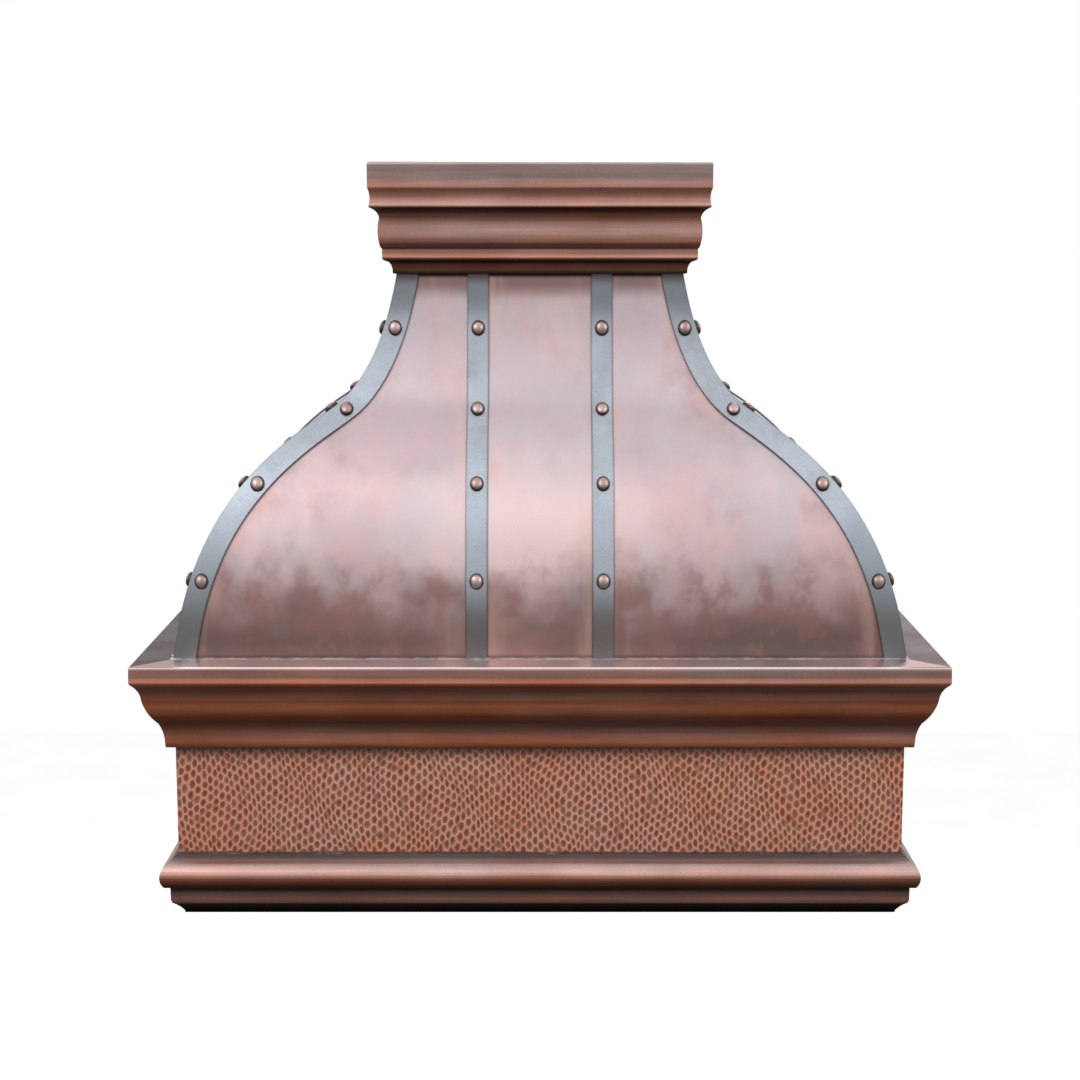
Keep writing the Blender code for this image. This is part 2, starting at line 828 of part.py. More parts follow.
def make_duct():
    t = DUCT_SHEET
    low, high = TRANSITION_Z
    middle = (0, sum(OUTLET_Y) / 2)
    half_x, half_y = OUTLET_HALF_WIDTH, (OUTLET_Y[1] - OUTLET_Y[0]) / 2
    flange = 0.012
    loops = [
        square_loop(half_x, half_y, low, middle),
        circle_loop(DUCT_RADIUS - t, high),
        circle_loop(DUCT_RADIUS, high),
        square_loop(half_x + t, half_y + t, low + t, middle),
        square_loop(half_x + flange, half_y + flange, low + t, middle),
        square_loop(half_x + flange, half_y + flange, low, middle),
    ]
    shape = loft(loops, closed=True)
    bmesh.ops.triangulate(shape, faces=shape.faces)
    add("duct_transition", shape, "galvanised")

    outer, inner = DUCT_RADIUS, DUCT_RADIUS - t
    low, high = COLLAR_Z
    stop = DAMPER_Z - 0.0040
    ledge, ledge_sheet = 0.0925, 0.0012
    profile = (
        (outer, low),
        (outer, high),
        (inner, high),
        (inner, stop + ledge_sheet),
        (ledge, stop + ledge_sheet),
        (ledge, stop),
        (inner, stop),
        (inner, low),
    )
    add("damper_collar", turned(profile, DUCT_SIDES), "galvanised", round_shape=True)

    top = HEIGHT
    profile = (
        (outer, high + GAP),
        (outer, top - t),
        (DUCT_FLANGE, top - t),
        (DUCT_FLANGE, top),
        (inner, top),
        (inner, high + GAP),
    )
    add("exhaust_duct", turned(profile, DUCT_SIDES), "galvanised", round_shape=True)

    pin = turned(((0, 0.0982), (0.0025, 0.0982), (0.0025, -0.0982), (0, -0.0982)), 10)
    bmesh.ops.rotate(pin, matrix=Matrix.Rotation(math.radians(90), 3, "X"), verts=pin.verts)
    add("damper_pin", pin, "brushed_steel", (0, 0, DAMPER_Z))
    for name, side in (("left", -1), ("right", 1)):
        add("damper_flap_" + name, flap(side), "galvanised", (0, 0, DAMPER_Z))


def flap(side):
    """Half a disc with two hinge tongues that reach the pin."""
    edge, tip = 0.0060, 0.0030
    limit = math.acos(edge / FLAP_RADIUS)
    steps = 12
    outline = []
    for i in range(steps + 1):
        angle = -limit + 2 * limit * i / steps
        outline.append((FLAP_RADIUS * math.cos(angle), FLAP_RADIUS * math.sin(angle)))
    for y in (0.055, -0.045):
        outline += [(edge, y), (tip, y), (tip, y - 0.010), (edge, y - 0.010)]
    outline = [(side * x, side * y) for x, y in outline]
    return extruded(outline, -FLAP_SHEET / 2, FLAP_SHEET / 2, "Z")


# Controls, lamps and wiring boxes


def make_controls():
    low = PAN_Z - GAP - 0.003
    plate = block((-0.110, CONTROL_Y - 0.028, low), (0.110, CONTROL_Y + 0.028, PAN_Z - GAP))
    plate = add("control_panel", plate, "brushed_steel")
    hole = SHAFT_RADIUS + 0.001
    holes = [rod_along_z(hole, low - 0.01, PAN_Z + 0.01, (x, CONTROL_Y)) for x in (-KNOB_X, KNOB_X)]
    boolean(plate, add("shaft_holes", join(holes), None))
    body_z = PAN_Z + STEEL + GAP
    bottom, top = KNOB_Z
    floor = bottom + 0.008
    for x, knob, switch in ((-KNOB_X, "fan_knob", "fan_switch"), (KNOB_X, "light_knob", "light_dimmer")):
        place = (x, CONTROL_Y, 0)
        body = block((-0.016, -0.016, body_z), (0.016, 0.016, body_z + 0.022))
        case = add(switch, body, "black_plastic", place)
        shaft = rod_along_z(SHAFT_RADIUS, floor + 0.001, body_z + 0.004, (0, 0))
        boolean(case, add(switch + "_shaft", shaft, None, place), "UNION")
        wide, narrow = KNOB_RADII
        bore = SHAFT_RADIUS + GAP
        profile = (
            (0, bottom),
            (narrow - 0.0015, bottom),
            (narrow, bottom + 0.0015),
            (wide, top - 0.003),
            (wide, top),
            (bore, top),
            (bore, floor),
            (0, floor),
        )
        add(knob, turned(profile, 20), "black_plastic", place, round_shape=True)


def make_lamps():
    trim_low = PAN_Z - 0.003
    seat = PAN_Z - GAP
    cup_top = PAN_Z + 0.042
    inner = LAMP_CUP - 0.0025
    for name, place in LAMP_PLACES.items():
        profile = (
            (0, cup_top),
            (LAMP_CUP, cup_top),
            (LAMP_CUP, seat),
            (LAMP_TRIM, seat),
            (LAMP_TRIM, trim_low),
            (inner, trim_low),
            (inner, cup_top - 0.003),
            (0, cup_top - 0.003),
        )
        add("lamp_housing_" + name, turned(profile, 16), "brushed_steel", (*place, 0), round_shape=True)
        radius, low = inner - GAP, trim_low + 0.0005
        glass = ((0, PAN_Z), (radius, PAN_Z), (radius, low), (0, low))
        add("lamp_lens_" + name, turned(glass, 16), "lamp_glass", (*place, 0), round_shape=True)


def make_boxes():
    floor = BLOWER_BOX_Z[1] + GAP
    half, wall, height = (0.055, 0.028), 0.0015, 0.044
    middle = (0, -0.100)
    shape = [
        (half, floor),
        (half, floor + height),
        ((half[0] - wall, half[1] - wall), floor + height),
        ((half[0] - wall, half[1] - wall), floor + wall),
    ]
    loops = [rectangle(*size, z, middle) for size, z in shape]
    add("junction_box", loft(loops), "galvanised")
    top = floor + height + GAP
    low, high = (-half[0], middle[1] - half[1], top), (half[0], middle[1] + half[1], top + 0.002)
    add("junction_cover", block(low, high), "galvanised")
    add("light_driver", block((0.134, -0.060, floor), (0.190, 0.060, floor + 0.030)), "black_plastic")


for old in list(bpy.data.objects):
    bpy.data.objects.remove(old)
RIM = bpy.data.objects.new("bottom_rim", None)
bpy.context.scene.collection.objects.link(RIM)
RIM.location = (0, 0, -HEIGHT)
make_panels()
make_straps()
make_mouldings()
make_frame()
make_liner()
make_filters()
make_blower()
make_duct()
make_controls()
make_lamps()
make_boxes()
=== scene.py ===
import math
import random
from functools import cached_property

import bmesh
import bpy
from mathutils import Matrix, Vector


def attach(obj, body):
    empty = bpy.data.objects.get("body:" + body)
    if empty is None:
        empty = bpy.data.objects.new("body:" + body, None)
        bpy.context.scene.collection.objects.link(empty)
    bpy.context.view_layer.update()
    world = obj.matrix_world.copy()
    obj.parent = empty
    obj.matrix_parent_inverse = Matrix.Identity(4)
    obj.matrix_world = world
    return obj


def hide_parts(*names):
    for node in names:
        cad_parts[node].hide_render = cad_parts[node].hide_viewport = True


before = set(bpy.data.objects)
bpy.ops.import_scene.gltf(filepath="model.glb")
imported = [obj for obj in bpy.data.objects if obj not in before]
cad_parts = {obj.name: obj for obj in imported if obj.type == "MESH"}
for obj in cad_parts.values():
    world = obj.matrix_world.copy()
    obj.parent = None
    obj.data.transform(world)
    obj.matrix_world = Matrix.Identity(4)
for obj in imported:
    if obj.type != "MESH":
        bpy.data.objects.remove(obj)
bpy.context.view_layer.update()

# Everything is in metres in the row frame: the origin is the centre of the ceiling plane.
# Heights in the tables are measured up from the hood's bottom rim, as in the CAD.

HEIGHT = 1.05
GAP = 0.0003
COPPER = 0.0012
NECK = (0.2045, 0.16)
FOOT = (0.5089, 0.3164)
SHELF_Z = 0.3685
BODY_TOP_Z = 0.892
PANEL_TOP_Z = 1.04
STRAP_TOP_Z = 0.905
STRAP = 0.004
STRAP_WIDTH = 0.0315
FACE_STRAP_X = 0.088
FACE_STRAP_WIDTH = 0.0295
SHEET = 0.002
BELL_MID = (0.2804, 0.7174)
BELL_UPPER_HANDLES = ((0.2148, 0.835), (0.2339, 0.7622))
BELL_LOWER_HANDLES = ((0.3155, 0.6836), (0.4803, 0.6235))
BELL_STEPS = 36
BELL_SMOOTHINGS = 4
RIVET_RADIUS = 0.01
RIVET_RISE = 0.0075
RIVET_HEIGHTS = (0.8176, 0.7055, 0.6068, 0.4754)
APRON = (0.5087, 0.3182)
APRON_Z = (0.0896, 0.2447)
# Solder: half width, rise and height
FOOT_SOLDER = (0.0042, 0.0016, SHELF_Z)
APRON_SOLDER = (0.0018, 0.0011, 0.0889)

# Moulding outlines: projection, height and bulge of the arc that ends there
CROWN = (
    (-0.003, 1.05, 0), (0.0335, 1.05, 0), (0.037, 1.046, 0.2), (0.037, 1.014, 0),
    (0.0354, 0.99, -0.09), (0.0354, 0.9872, 0), (0.0311, 0.985, 0), (0.0218, 0.9723, -0.12),
    (0.0206, 0.9315, 0.07), (0.0184, 0.9295, 0), (0.0186, 0.918, 0), (0.015, 0.9128, 0.2),
    (0.0095, 0.9105, 0), (0.0048, 0.8985, -0.09), (0.0044, 0.8945, 0), (0.0008, 0.894, 0),
)
CORNICE = (
    (-0.02, 0.3685, 0), (0.05, 0.3685, 0), (0.052, 0.3665, 0.2), (0.0524, 0.3455, 0),
    (0.05, 0.342, 0), (0.0385, 0.319, -0.1), (0.0195, 0.2815, 0.065), (0.0122, 0.25, -0.06),
    (0.0118, 0.2462, 0), (0.0105, 0.245, 0), (-0.006, 0.245, 0),
)
BASE = (
    (-0.01, 0.0893, 0), (0.001, 0.0893, 0), (0.011, 0.0805, 0), (0.0185, 0.044, 0.245),
    (0.0113, 0.043, 0), (0.011, 0.024, 0), (0.0096, 0.0195, 0), (-0.0055, 0.003, -0.05),
    (-0.0059, 0.0, 0), (-0.0187, 0.0, 0),
)

# The patina down each moulding, with its painted highlights and painted shadows: height, how light it is painted,
# and how warm the patina is
CROWN_PATINA_AND_SHADING = (
    (1.05, 0.55, 0.2), (1.044, 0.38, 0.35), (1.029, 0.38, 0.42), (1.02, 0.65, 0.65),
    (1.015, 0.58, 0.72), (1.012, 0.42, 0.8), (0.998, 0.55, 0.7), (0.99, 0.54, 0.58),
    (0.9868, 0.1, 0.85), (0.9805, 0.12, 0.85), (0.9745, 0.4, 0.9), (0.971, 0.14, 0.78),
    (0.957, 0.55, 0.56), (0.951, 0.72, 0.6), (0.94, 0.68, 0.84), (0.9355, 0.17, 0.85),
    (0.931, 0.16, 0.8), (0.9285, 0.42, 0.65), (0.923, 0.5, 0.78), (0.9185, 0.95, 0.8),
    (0.916, 0.4, 0.8), (0.9145, 0.12, 0.8), (0.9105, 0.06, 0.75), (0.904, 0.3, 0.98),
    (0.8975, 0.07, 0.75), (0.893, 0.03, 0.7),
)
CORNICE_PATINA_AND_SHADING = (
    (0.3685, 1.0, 0.02), (0.3672, 1.0, 0.2), (0.3655, 0.95, 0.25), (0.3635, 0.5, 0.6),
    (0.354, 0.47, 0.62), (0.3495, 1.0, 0.9), (0.3465, 1.0, 0.94), (0.3445, 0.42, 0.95),
    (0.34, 0.24, 0.95), (0.333, 0.18, 0.72), (0.325, 0.4, 0.8), (0.317, 0.48, 0.95),
    (0.309, 0.72, 1.0), (0.301, 0.55, 1.0), (0.293, 0.22, 1.0), (0.286, 0.16, 0.82),
    (0.278, 0.18, 0.8), (0.269, 0.4, 0.74), (0.26, 0.78, 0.88), (0.255, 0.76, 0.94),
    (0.251, 0.52, 0.96), (0.245, 0.28, 1.0),
)
BASE_PATINA_AND_SHADING = (
    (0.0893, 0.11, 0.35), (0.085, 0.125, 0.3), (0.0812, 0.24, 0.28), (0.08, 0.5, 0.3),
    (0.0765, 0.5, 0.4), (0.0735, 0.5, 0.42), (0.0695, 0.6, 0.5), (0.066, 0.7, 0.58),
    (0.0615, 0.6, 0.74), (0.057, 0.42, 0.9), (0.0525, 0.23, 0.95), (0.047, 0.07, 0.95),
    (0.0425, 0.05, 0.8), (0.0385, 0.05, 0.55), (0.0345, 0.14, 0.5), (0.029, 0.33, 0.72),
    (0.024, 0.46, 0.72), (0.021, 0.42, 0.8), (0.0185, 0.12, 0.95), (0.0165, 0.01, 0.9),
    (0.0, 0.002, 0.5),
)
# The inside of each moulding sheet is painted dark as shade: light, warmth
INSIDE_SHADE = (0.1, 0.85)

CORNERS = {
    "front_left": (-1, -1),
    "front_right": (1, -1),
    "rear_left": (-1, 1),
    "rear_right": (1, 1),
}
DEPTH_SHARE = (FOOT[1] - NECK[1]) / (FOOT[0] - NECK[0])


def at(height):
    """The row frame's z of a height above the rim."""
    return height - HEIGHT


# ---------------- materials


class Paint:
    """One procedural material, built node by node on a Principled shader, with its colour laid on in coats."""

    def __init__(self, name, metallic, **settings):
        self.made = bpy.data.materials.new(name + "_finish")
        self.made.use_nodes = True
        self.tree = self.made.node_tree
        self.shader = self.tree.nodes["Principled BSDF"]
        self.shader.inputs["Metallic"].default_value = metallic
        for socket, value in settings.items():
            self.shader.inputs[socket.replace("_", " ")].default_value = value
        self.place = self.tree.nodes.new("ShaderNodeTexCoord").outputs["Object"]
        self.base = None

    def set(self, socket, value):
        """Links a socket into an input, or sets the input to a plain value."""
        if isinstance(value, bpy.types.NodeSocket):
            self.tree.links.new(value, socket)
        else:
            socket.default_value = value

    def node(self, kind, inputs, **settings):
        made = self.tree.nodes.new("ShaderNode" + kind)
        for key, value in settings.items():
            setattr(made, key, value)
        for key, value in inputs.items():
            self.set(made.inputs[key], value)
        return made

    def noise(self, scale, detail=3.0, rough=0.6, stretch=(1, 1, 1), shift=(0, 0, 0)):
        """Noise in object coordinates, finer along the larger factors of stretch."""
        spot = self.node("Mapping", {"Vector": self.place, "Scale": stretch, "Location": shift})
        inputs = {"Vector": spot.outputs["Vector"], "Scale": scale, "Detail": detail, "Roughness": rough}
        return self.node("TexNoise", inputs).outputs["Fac"]

    def spread(self, value, low, high, *ends, how="LINEAR"):
        """Maps low to high onto 0 to 1, onto 0 to the end given, or onto the two ends given."""
        to_low, to_high = (0.0, *(ends or (1.0,)))[-2:]
        inputs = {"Value": value, "From Min": low, "From Max": high, "To Min": to_low, "To Max": to_high}
        return self.node("MapRange", inputs, interpolation_type=how).outputs["Result"]

    def smooth(self, value, low, high, *ends):
        return self.spread(value, low, high, *ends, how="SMOOTHSTEP")

    def swing(self, noise, *ends):
        """Maps the range that a noise mostly keeps to onto the ends."""
        return self.spread(noise, 0.3, 0.7, *ends)

    def rise(self, low, high, *ends):
        """Smooth over the height above the rim, from low to high."""
        return self.smooth(self.height, at(low), at(high), *ends)

    def math(self, how, *values):
        """Combines the values, first to last, with one operation."""
        total = values[0]
        for value in values[1:]:
            total = self.node("Math", {0: total, 1: value}, operation=how).outputs["Value"]
        return total

    def plus(self, *values):
        return self.math("ADD", *values)

    def times(self, *values):
        return self.math("MULTIPLY", *values)

    def mix(self, amount, first, second, how="MIX"):
        made = self.node("Mix", {}, data_type="RGBA", blend_type=how)
        for index, value in ((0, amount), (6, first), (7, second)):
            self.set(made.inputs[index], (*value, 1.0) if isinstance(value, tuple) else value)
        return made.outputs[2]

    def coat(self, amount, colour):
        """Lays a colour over the base, by an amount or by the arguments of smooth."""
        self.base = self.mix(self.smooth(*amount) if isinstance(amount, tuple) else amount, self.base, colour)

    def attribute(self, name):
        return self.node("Attribute", {}, attribute_name=name).outputs["Fac"]

    @cached_property
    def axes(self):
        return self.node("SeparateXYZ", {"Vector": self.place}).outputs

    @cached_property
    def height(self):
        return self.axes["Z"]

    @cached_property
    def aside(self):
        """How far to the left or right of the hood's middle."""
        return self.math("ABSOLUTE", self.axes["X"], 0.0)

    def finish(self, roughness, *bumps):
        """Links the base colour and roughness, and stacks (height, strength, distance) bumps."""
        self.set(self.shader.inputs["Base Color"], self.base)
        self.set(self.shader.inputs["Roughness"], roughness)
        inputs = {}
        for value, strength, distance in bumps:
            inputs |= {"Height": value, "Strength": strength, "Distance": distance}
            inputs["Normal"] = self.node("Bump", inputs).outputs["Normal"]
        if inputs:
            self.set(self.shader.inputs["Normal"], inputs["Normal"])
        return self.made


LAVENDER = (1.0, 0.92, 0.94)
ORANGE = (1.0, 0.33, 0.17)
OXIDE = (0.085, 0.04, 0.028)


def aged_copper():
    """Mouldings: copper from near black through grey-pink to warm, with painted highlights and painted shadows down
    each profile, drawn lines and blotches.
    """
    p = Paint("aged_copper", 1.0)
    light, blotch, fine = p.attribute("light"), p.noise(9, 5), p.noise(420)
    band = p.noise(6, 4, 0.6, (0.8, 0.8, 22), (3, 1, 7))
    flush = p.noise(4, 4, 0.6, (1, 1, 5), (9, 2, 4))
    drawn = p.noise(60, 2, 0.5, (0.05, 0.05, 14))
    hue = p.plus(p.attribute("warmth"), p.swing(flush, -0.13, 0.1))
    uneven = p.times(p.swing(blotch, 0.88, 1.1), p.swing(band, 0.88, 1.12), p.swing(drawn, 0.95, 1.05))
    # The light attribute paints each moulding's highlights and shadows; the edge attribute lightens rubbed convex
    # corners and darkens concave ones as painted shade with grime
    shade = p.times(light, p.times(uneven, p.spread(p.attribute("edge"), -1.0, 1.0, 0.8, 1.2)))
    grey = p.node("CombineXYZ", {axis: shade for axis in "XYZ"}).outputs["Vector"]
    p.base = p.mix(1.0, p.mix(hue, LAVENDER, ORANGE), grey, "MULTIPLY")
    p.coat(p.spread(fine, 0.42, 0.75, 0.25), p.mix(1.0, p.base, (0.45, 0.4, 0.38), "MULTIPLY"))
    # The cornice's shelf is painted duller at its front corners as painted shade, and painted dark past the mitres,
    # along its sides, as a painted dark reflection
    mitre = APRON[0] - APRON[1]
    past = p.math("SUBTRACT", p.aside, p.math("ABSOLUTE", p.axes["Y"], 0.0))
    shelf_corner_shade = p.times(p.rise(0.3668, 0.3678), p.smooth(p.aside, 0.478, 0.508))
    shelf_side_reflection = p.times(shelf_corner_shade, p.smooth(past, mitre - 0.003, mitre + 0.003))
    p.coat(p.times(shelf_corner_shade, 0.94), (0.36, 0.215, 0.21))
    dark_reflection = p.mix(p.smooth(blotch, 0.42, 0.58), (0.115, 0.098, 0.104), (0.07, 0.055, 0.05))
    p.coat(p.times(shelf_side_reflection, 0.94), dark_reflection)
    roughness = p.plus(p.swing(band, 0.28, 0.37), p.swing(fine, -0.03, 0.05))
    dull = p.plus(p.smooth(light, 0.3, 0.02, 0.25), p.times(shelf_side_reflection, 0.2))
    bumps = ((p.noise(5, 2, 0.4), 0.22, 0.004), (drawn, 0.1, 0.0004), (fine, 0.12, 0.0002))
    return p.finish(p.plus(roughness, dull), *bumps)


def patina_copper():
    """Body sheets: lavender-pink patina in soft clouds, a painted cool band of shade and a painted pale sheen on the
    bell, and brown and grey towards the foot and the crown, partly patina and partly painted dark reflection and
    painted shade.
    """
    p = Paint("patina_copper", 1.0)
    seam, fine = p.attribute("seam"), p.noise(380)
    cloud = p.noise(7.5, 4, 0.55, (1, 1, 0.8))
    streak = p.noise(16, 3, 0.5, (1.6, 1.6, 0.13), (5, 2, 1))
    smudge = p.noise(7, 3, 0.55, (0.8, 0.8, 1.3), (1, 8, 3))
    mottle = p.noise(24, 3, 0.6, (1, 1, 0.8), (4, 4, 2))
    brown = (0.3, 0.175, 0.158)
    cool = p.times(p.rise(0.64, 0.74), p.rise(0.89, 0.83, -0.09))
    p.base = p.mix(p.smooth(p.plus(cloud, cool), 0.38, 0.6), (0.59, 0.5, 0.535), (0.645, 0.455, 0.47))
    p.coat((mottle, 0.5, 0.62, 0.35), (0.66, 0.48, 0.5))
    p.coat((streak, 0.48, 0.66, 0.45), (0.7, 0.52, 0.51))
    p.coat((mottle, 0.45, 0.75, 0.2), (0.45, 0.34, 0.35))
    # A cool grey band of painted shade where the bell turns outwards, and a painted pale sheen down its middle below
    # that
    level = p.plus(p.height, p.spread(smudge, 0.35, 0.65, -0.022, 0.022), p.smooth(p.aside, 0.06, 0.13, 0.036))
    band = p.times(p.smooth(level, at(0.8), at(0.72)), p.smooth(level, at(0.635), at(0.7)))
    p.coat(p.times(band, p.swing(streak, 0.28, 0.6)), (0.43, 0.385, 0.425))
    middle = p.times(p.smooth(p.aside, 0.26, 0.05), 0.58)
    p.coat(p.times(p.rise(0.64, 0.56), p.rise(0.45, 0.5), middle), (0.95, 0.74, 0.73))
    # The foot: painted darker brown towards the bottom as a painted dark reflection, in brown patina clouds, browner
    # by the straps and towards the sides; then warm, grey and ruddy patina patches in them, and a darker band of
    # painted reflection low down towards the sides
    low = p.plus(
        p.spread(p.height, at(0.535), at(0.39)),
        p.spread(smudge, 0.35, 0.65, -0.17, 0.16),
        p.spread(mottle, 0.35, 0.65, -0.12, 0.11),
        p.smooth(seam, 0.07, 0.0, 0.15),
        p.smooth(p.aside, 0.1, 0.26, -0.13, 0.1),
    )
    p.coat((low, 0.05, 1.0, 0.97), brown)
    warm = p.times(p.rise(0.5, 0.42), p.smooth(p.aside, 0.2, 0.04, 0.1, 0.42))
    p.coat(p.times(warm, p.spread(mottle, 0.4, 0.62)), (0.52, 0.255, 0.2))
    p.coat(p.times(p.rise(0.44, 0.385), p.smooth(p.aside, 0.08, 0.2, 0.55)), (0.15, 0.105, 0.098))
    p.coat(p.times(p.rise(0.5, 0.42), p.smooth(smudge, 0.44, 0.64, 0.52)), (0.175, 0.14, 0.132))
    p.coat(p.times(p.rise(0.52, 0.44), p.smooth(mottle, 0.5, 0.64, 0.5)), (0.36, 0.185, 0.17))
    # Painted shade under the crown, then paler and warmer along the seams, a thin line of painted shade and dirt
    # along each strap's edge, and the painted lines of shadow at the sheet's top and foot
    # Painted shade under the crown
    top = p.plus(p.rise(0.842, 0.89), p.spread(smudge, 0.35, 0.65, -0.1, 0.1))
    p.coat((top, 0.05, 1.0, 0.9), (0.235, 0.14, 0.128))
    p.coat(p.times(p.smooth(seam, 0.034, 0.006), p.smooth(streak, 0.45, 0.65, 0.35)), (0.72, 0.47, 0.4))
    p.coat((seam, 0.0024, 0.0004, 0.55), (0.16, 0.1, 0.095))
    p.coat(p.rise(0.887, 0.8925, 0.97), (0.02, 0.01, 0.008))
    p.coat(p.rise(0.376, 0.37, 0.5), (0.12, 0.075, 0.065))
    p.coat(p.spread(fine, 0.45, 0.8, 0.1), brown)
    roughness = p.plus(p.swing(cloud, 0.34, 0.42), p.swing(streak, -0.03, 0.04))
    brushed = p.noise(70, 2, 0.5, (6, 6, 0.12))
    return p.finish(roughness, (p.noise(4.5, 2, 0.4), 0.2, 0.006), (brushed, 0.05, 0.0004), (fine, 0.07, 0.0002))


def hammered_copper():
    """Apron: bright rubbed ridges round dimples that kept their dark patina, with painted shade along its top under
    the cornice and along its foot.
    """
    p = Paint("hammered_copper", 0.6)
    ridge, cell, rim = p.attribute("ridge"), p.attribute("cell"), p.attribute("rim")
    cloud, fine = p.noise(11, 4), p.noise(500)
    flush = p.noise(7, 3, 0.6, (1, 1, 1), (2, 5, 1))
    pit = p.mix(p.spread(cell, 0.0, 1.0), (0.17, 0.065, 0.041), (0.255, 0.101, 0.066))
    pit = p.mix(p.smooth(cell, 0.7, 0.95, 0.6), pit, (0.19, 0.135, 0.08))
    pit = p.mix(p.smooth(cloud, 0.5, 0.7, 0.5), pit, (0.2, 0.118, 0.115))
    crest = p.mix(p.smooth(flush, 0.35, 0.65), (0.8, 0.305, 0.17), (0.77, 0.335, 0.255))
    crest = p.mix(p.smooth(cloud, 0.46, 0.62, 0.5), crest, (0.8, 0.43, 0.295))
    p.base = p.mix(p.smooth(ridge, 0.08, 0.8), pit, crest)
    # Painted shade under the cornice and along the foot
    p.coat(p.times(rim, 0.95), (0.06, 0.032, 0.024))
    p.coat(p.spread(fine, 0.45, 0.8, 0.15), OXIDE)
    return p.finish(p.plus(p.smooth(ridge, 0.2, 0.9, 0.42, 0.3), p.swing(fine, -0.03, 0.05)), (fine, 0.15, 0.0002))


def grey_iron():
    """Straps: blue-grey iron with a faint mottling, painted reflections down the bell, painted shade under the crown
    and painted dark edges.
    """
    p = Paint("grey_iron", 1.0)
    cloud, fine = p.noise(14, 5), p.noise(350, 4, 0.65)
    p.base = p.mix(p.smooth(cloud, 0.35, 0.68), (0.445, 0.488, 0.553), (0.36, 0.395, 0.44))
    # Painted reflections: paler blue low on the bell, darker towards the foot and darkest at it, the corner straps
    # greyer than the face straps towards the foot; then painted shade under the crown
    corner = p.smooth(p.aside, 0.4, 0.45)
    p.coat(p.rise(0.7, 0.56, 0.4), (0.49, 0.545, 0.625))
    p.coat(p.times(p.rise(0.64, 0.47, 0.55), corner), (0.235, 0.275, 0.305))
    p.coat(p.rise(0.5, 0.41, 0.88), p.mix(corner, (0.15, 0.118, 0.11), (0.185, 0.178, 0.176)))
    p.coat(p.rise(0.812, 0.862, 0.72), (0.15, 0.165, 0.18))
    p.coat(p.rise(0.875, 0.893, 0.85), (0.07, 0.05, 0.05))
    # Painted shade along the strap's edges
    p.coat(p.spread(p.attribute("edge"), 0.15, 1.0, 0.4), (0.075, 0.065, 0.065))
    p.coat(p.spread(fine, 0.45, 0.75, 0.25), (0.18, 0.17, 0.175))
    roughness = p.plus(p.swing(cloud, 0.38, 0.5), p.swing(fine, -0.04, 0.06))
    return p.finish(roughness, (p.noise(38, 3, 0.5), 0.28, 0.0012), (fine, 0.22, 0.0003))


def rivet_copper():
    """Rivet heads: a painted pale highlight at the crown, and painted dark brown shade round the rim."""
    p = Paint("rivet_copper", 1.0)
    fine = p.noise(260)
    p.base = p.mix(p.spread(p.attribute("cell"), 0.0, 1.0), (0.41, 0.295, 0.275), (0.55, 0.41, 0.4))
    # Painted shade towards the rim and a painted contact shadow at the foot
    p.coat((p.attribute("edge"), 0.0, 0.75, 0.94), (0.045, 0.03, 0.026))
    p.coat((fine, 0.5, 0.75, 0.3), (0.22, 0.13, 0.115))
    return p.finish(p.swing(fine, 0.36, 0.48), (fine, 0.25, 0.0004))


def lumpy_solder(name, scale, tones, low, high, roughness):
    p = Paint(name, 0.8)
    cloud, fine = p.noise(scale, 4), p.noise(600)
    p.base = p.mix(p.smooth(cloud, low, high), *tones)
    return p.finish(p.swing(fine, *roughness), (cloud, 0.4, 0.0008), (fine, 0.2, 0.0002))


def solder():
    """Soft solder run along a joint: pale grey and lumpy."""
    return lumpy_solder("solder", 45, ((0.62, 0.6, 0.63), (0.4, 0.33, 0.33)), 0.35, 0.65, (0.35, 0.55))


def dull_solder():
    """The darker solder under the apron."""
    return lumpy_solder("dull_solder", 30, ((0.095, 0.078, 0.08), (0.36, 0.33, 0.34)), 0.52, 0.72, (0.38, 0.6))


def brushed_steel():
    """Stainless steel with its brushing along X and faint handling marks."""
    p = Paint("brushed_steel", 1.0)
    grain, cloud = p.noise(900, 3, 0.6, (0.012, 1, 1)), p.noise(7, 4)
    p.base = p.mix(p.swing(grain), (0.56, 0.56, 0.565), (0.7, 0.7, 0.7))
    p.coat((cloud, 0.5, 0.75, 0.25), (0.44, 0.43, 0.42))
    return p.finish(p.plus(p.swing(grain, 0.22, 0.34), p.swing(cloud, -0.02, 0.06)), (grain, 0.1, 0.0003))


def galvanised():
    """Zinc-coated sheet with its spangle."""
    p = Paint("galvanised", 0.9)
    flakes = p.node("TexVoronoi", {"Vector": p.place, "Scale": 85.0}).outputs["Color"]
    tone = p.node("SeparateXYZ", {"Vector": flakes}).outputs["X"]
    p.base = p.mix(tone, (0.4, 0.42, 0.44), (0.62, 0.64, 0.66))
    p.coat((p.noise(9, 4), 0.5, 0.75, 0.3), (0.36, 0.36, 0.36))
    return p.finish(p.spread(tone, 0.0, 1.0, 0.34, 0.52), (p.noise(300, 3, 0.55), 0.08, 0.0002))


def frame_steel():
    """Black-grey powder paint with its orange peel."""
    p = Paint("frame_steel", 0.0, Specular_IOR_Level=0.5)
    peel = p.noise(420, 2, 0.5)
    p.base = p.mix(p.smooth(p.noise(12, 4), 0.35, 0.7), (0.085, 0.086, 0.09), (0.125, 0.122, 0.12))
    p.coat(p.spread(peel, 0.55, 0.8, 0.3), (0.2, 0.19, 0.18))
    return p.finish(p.swing(peel, 0.4, 0.55), (peel, 0.25, 0.0003))


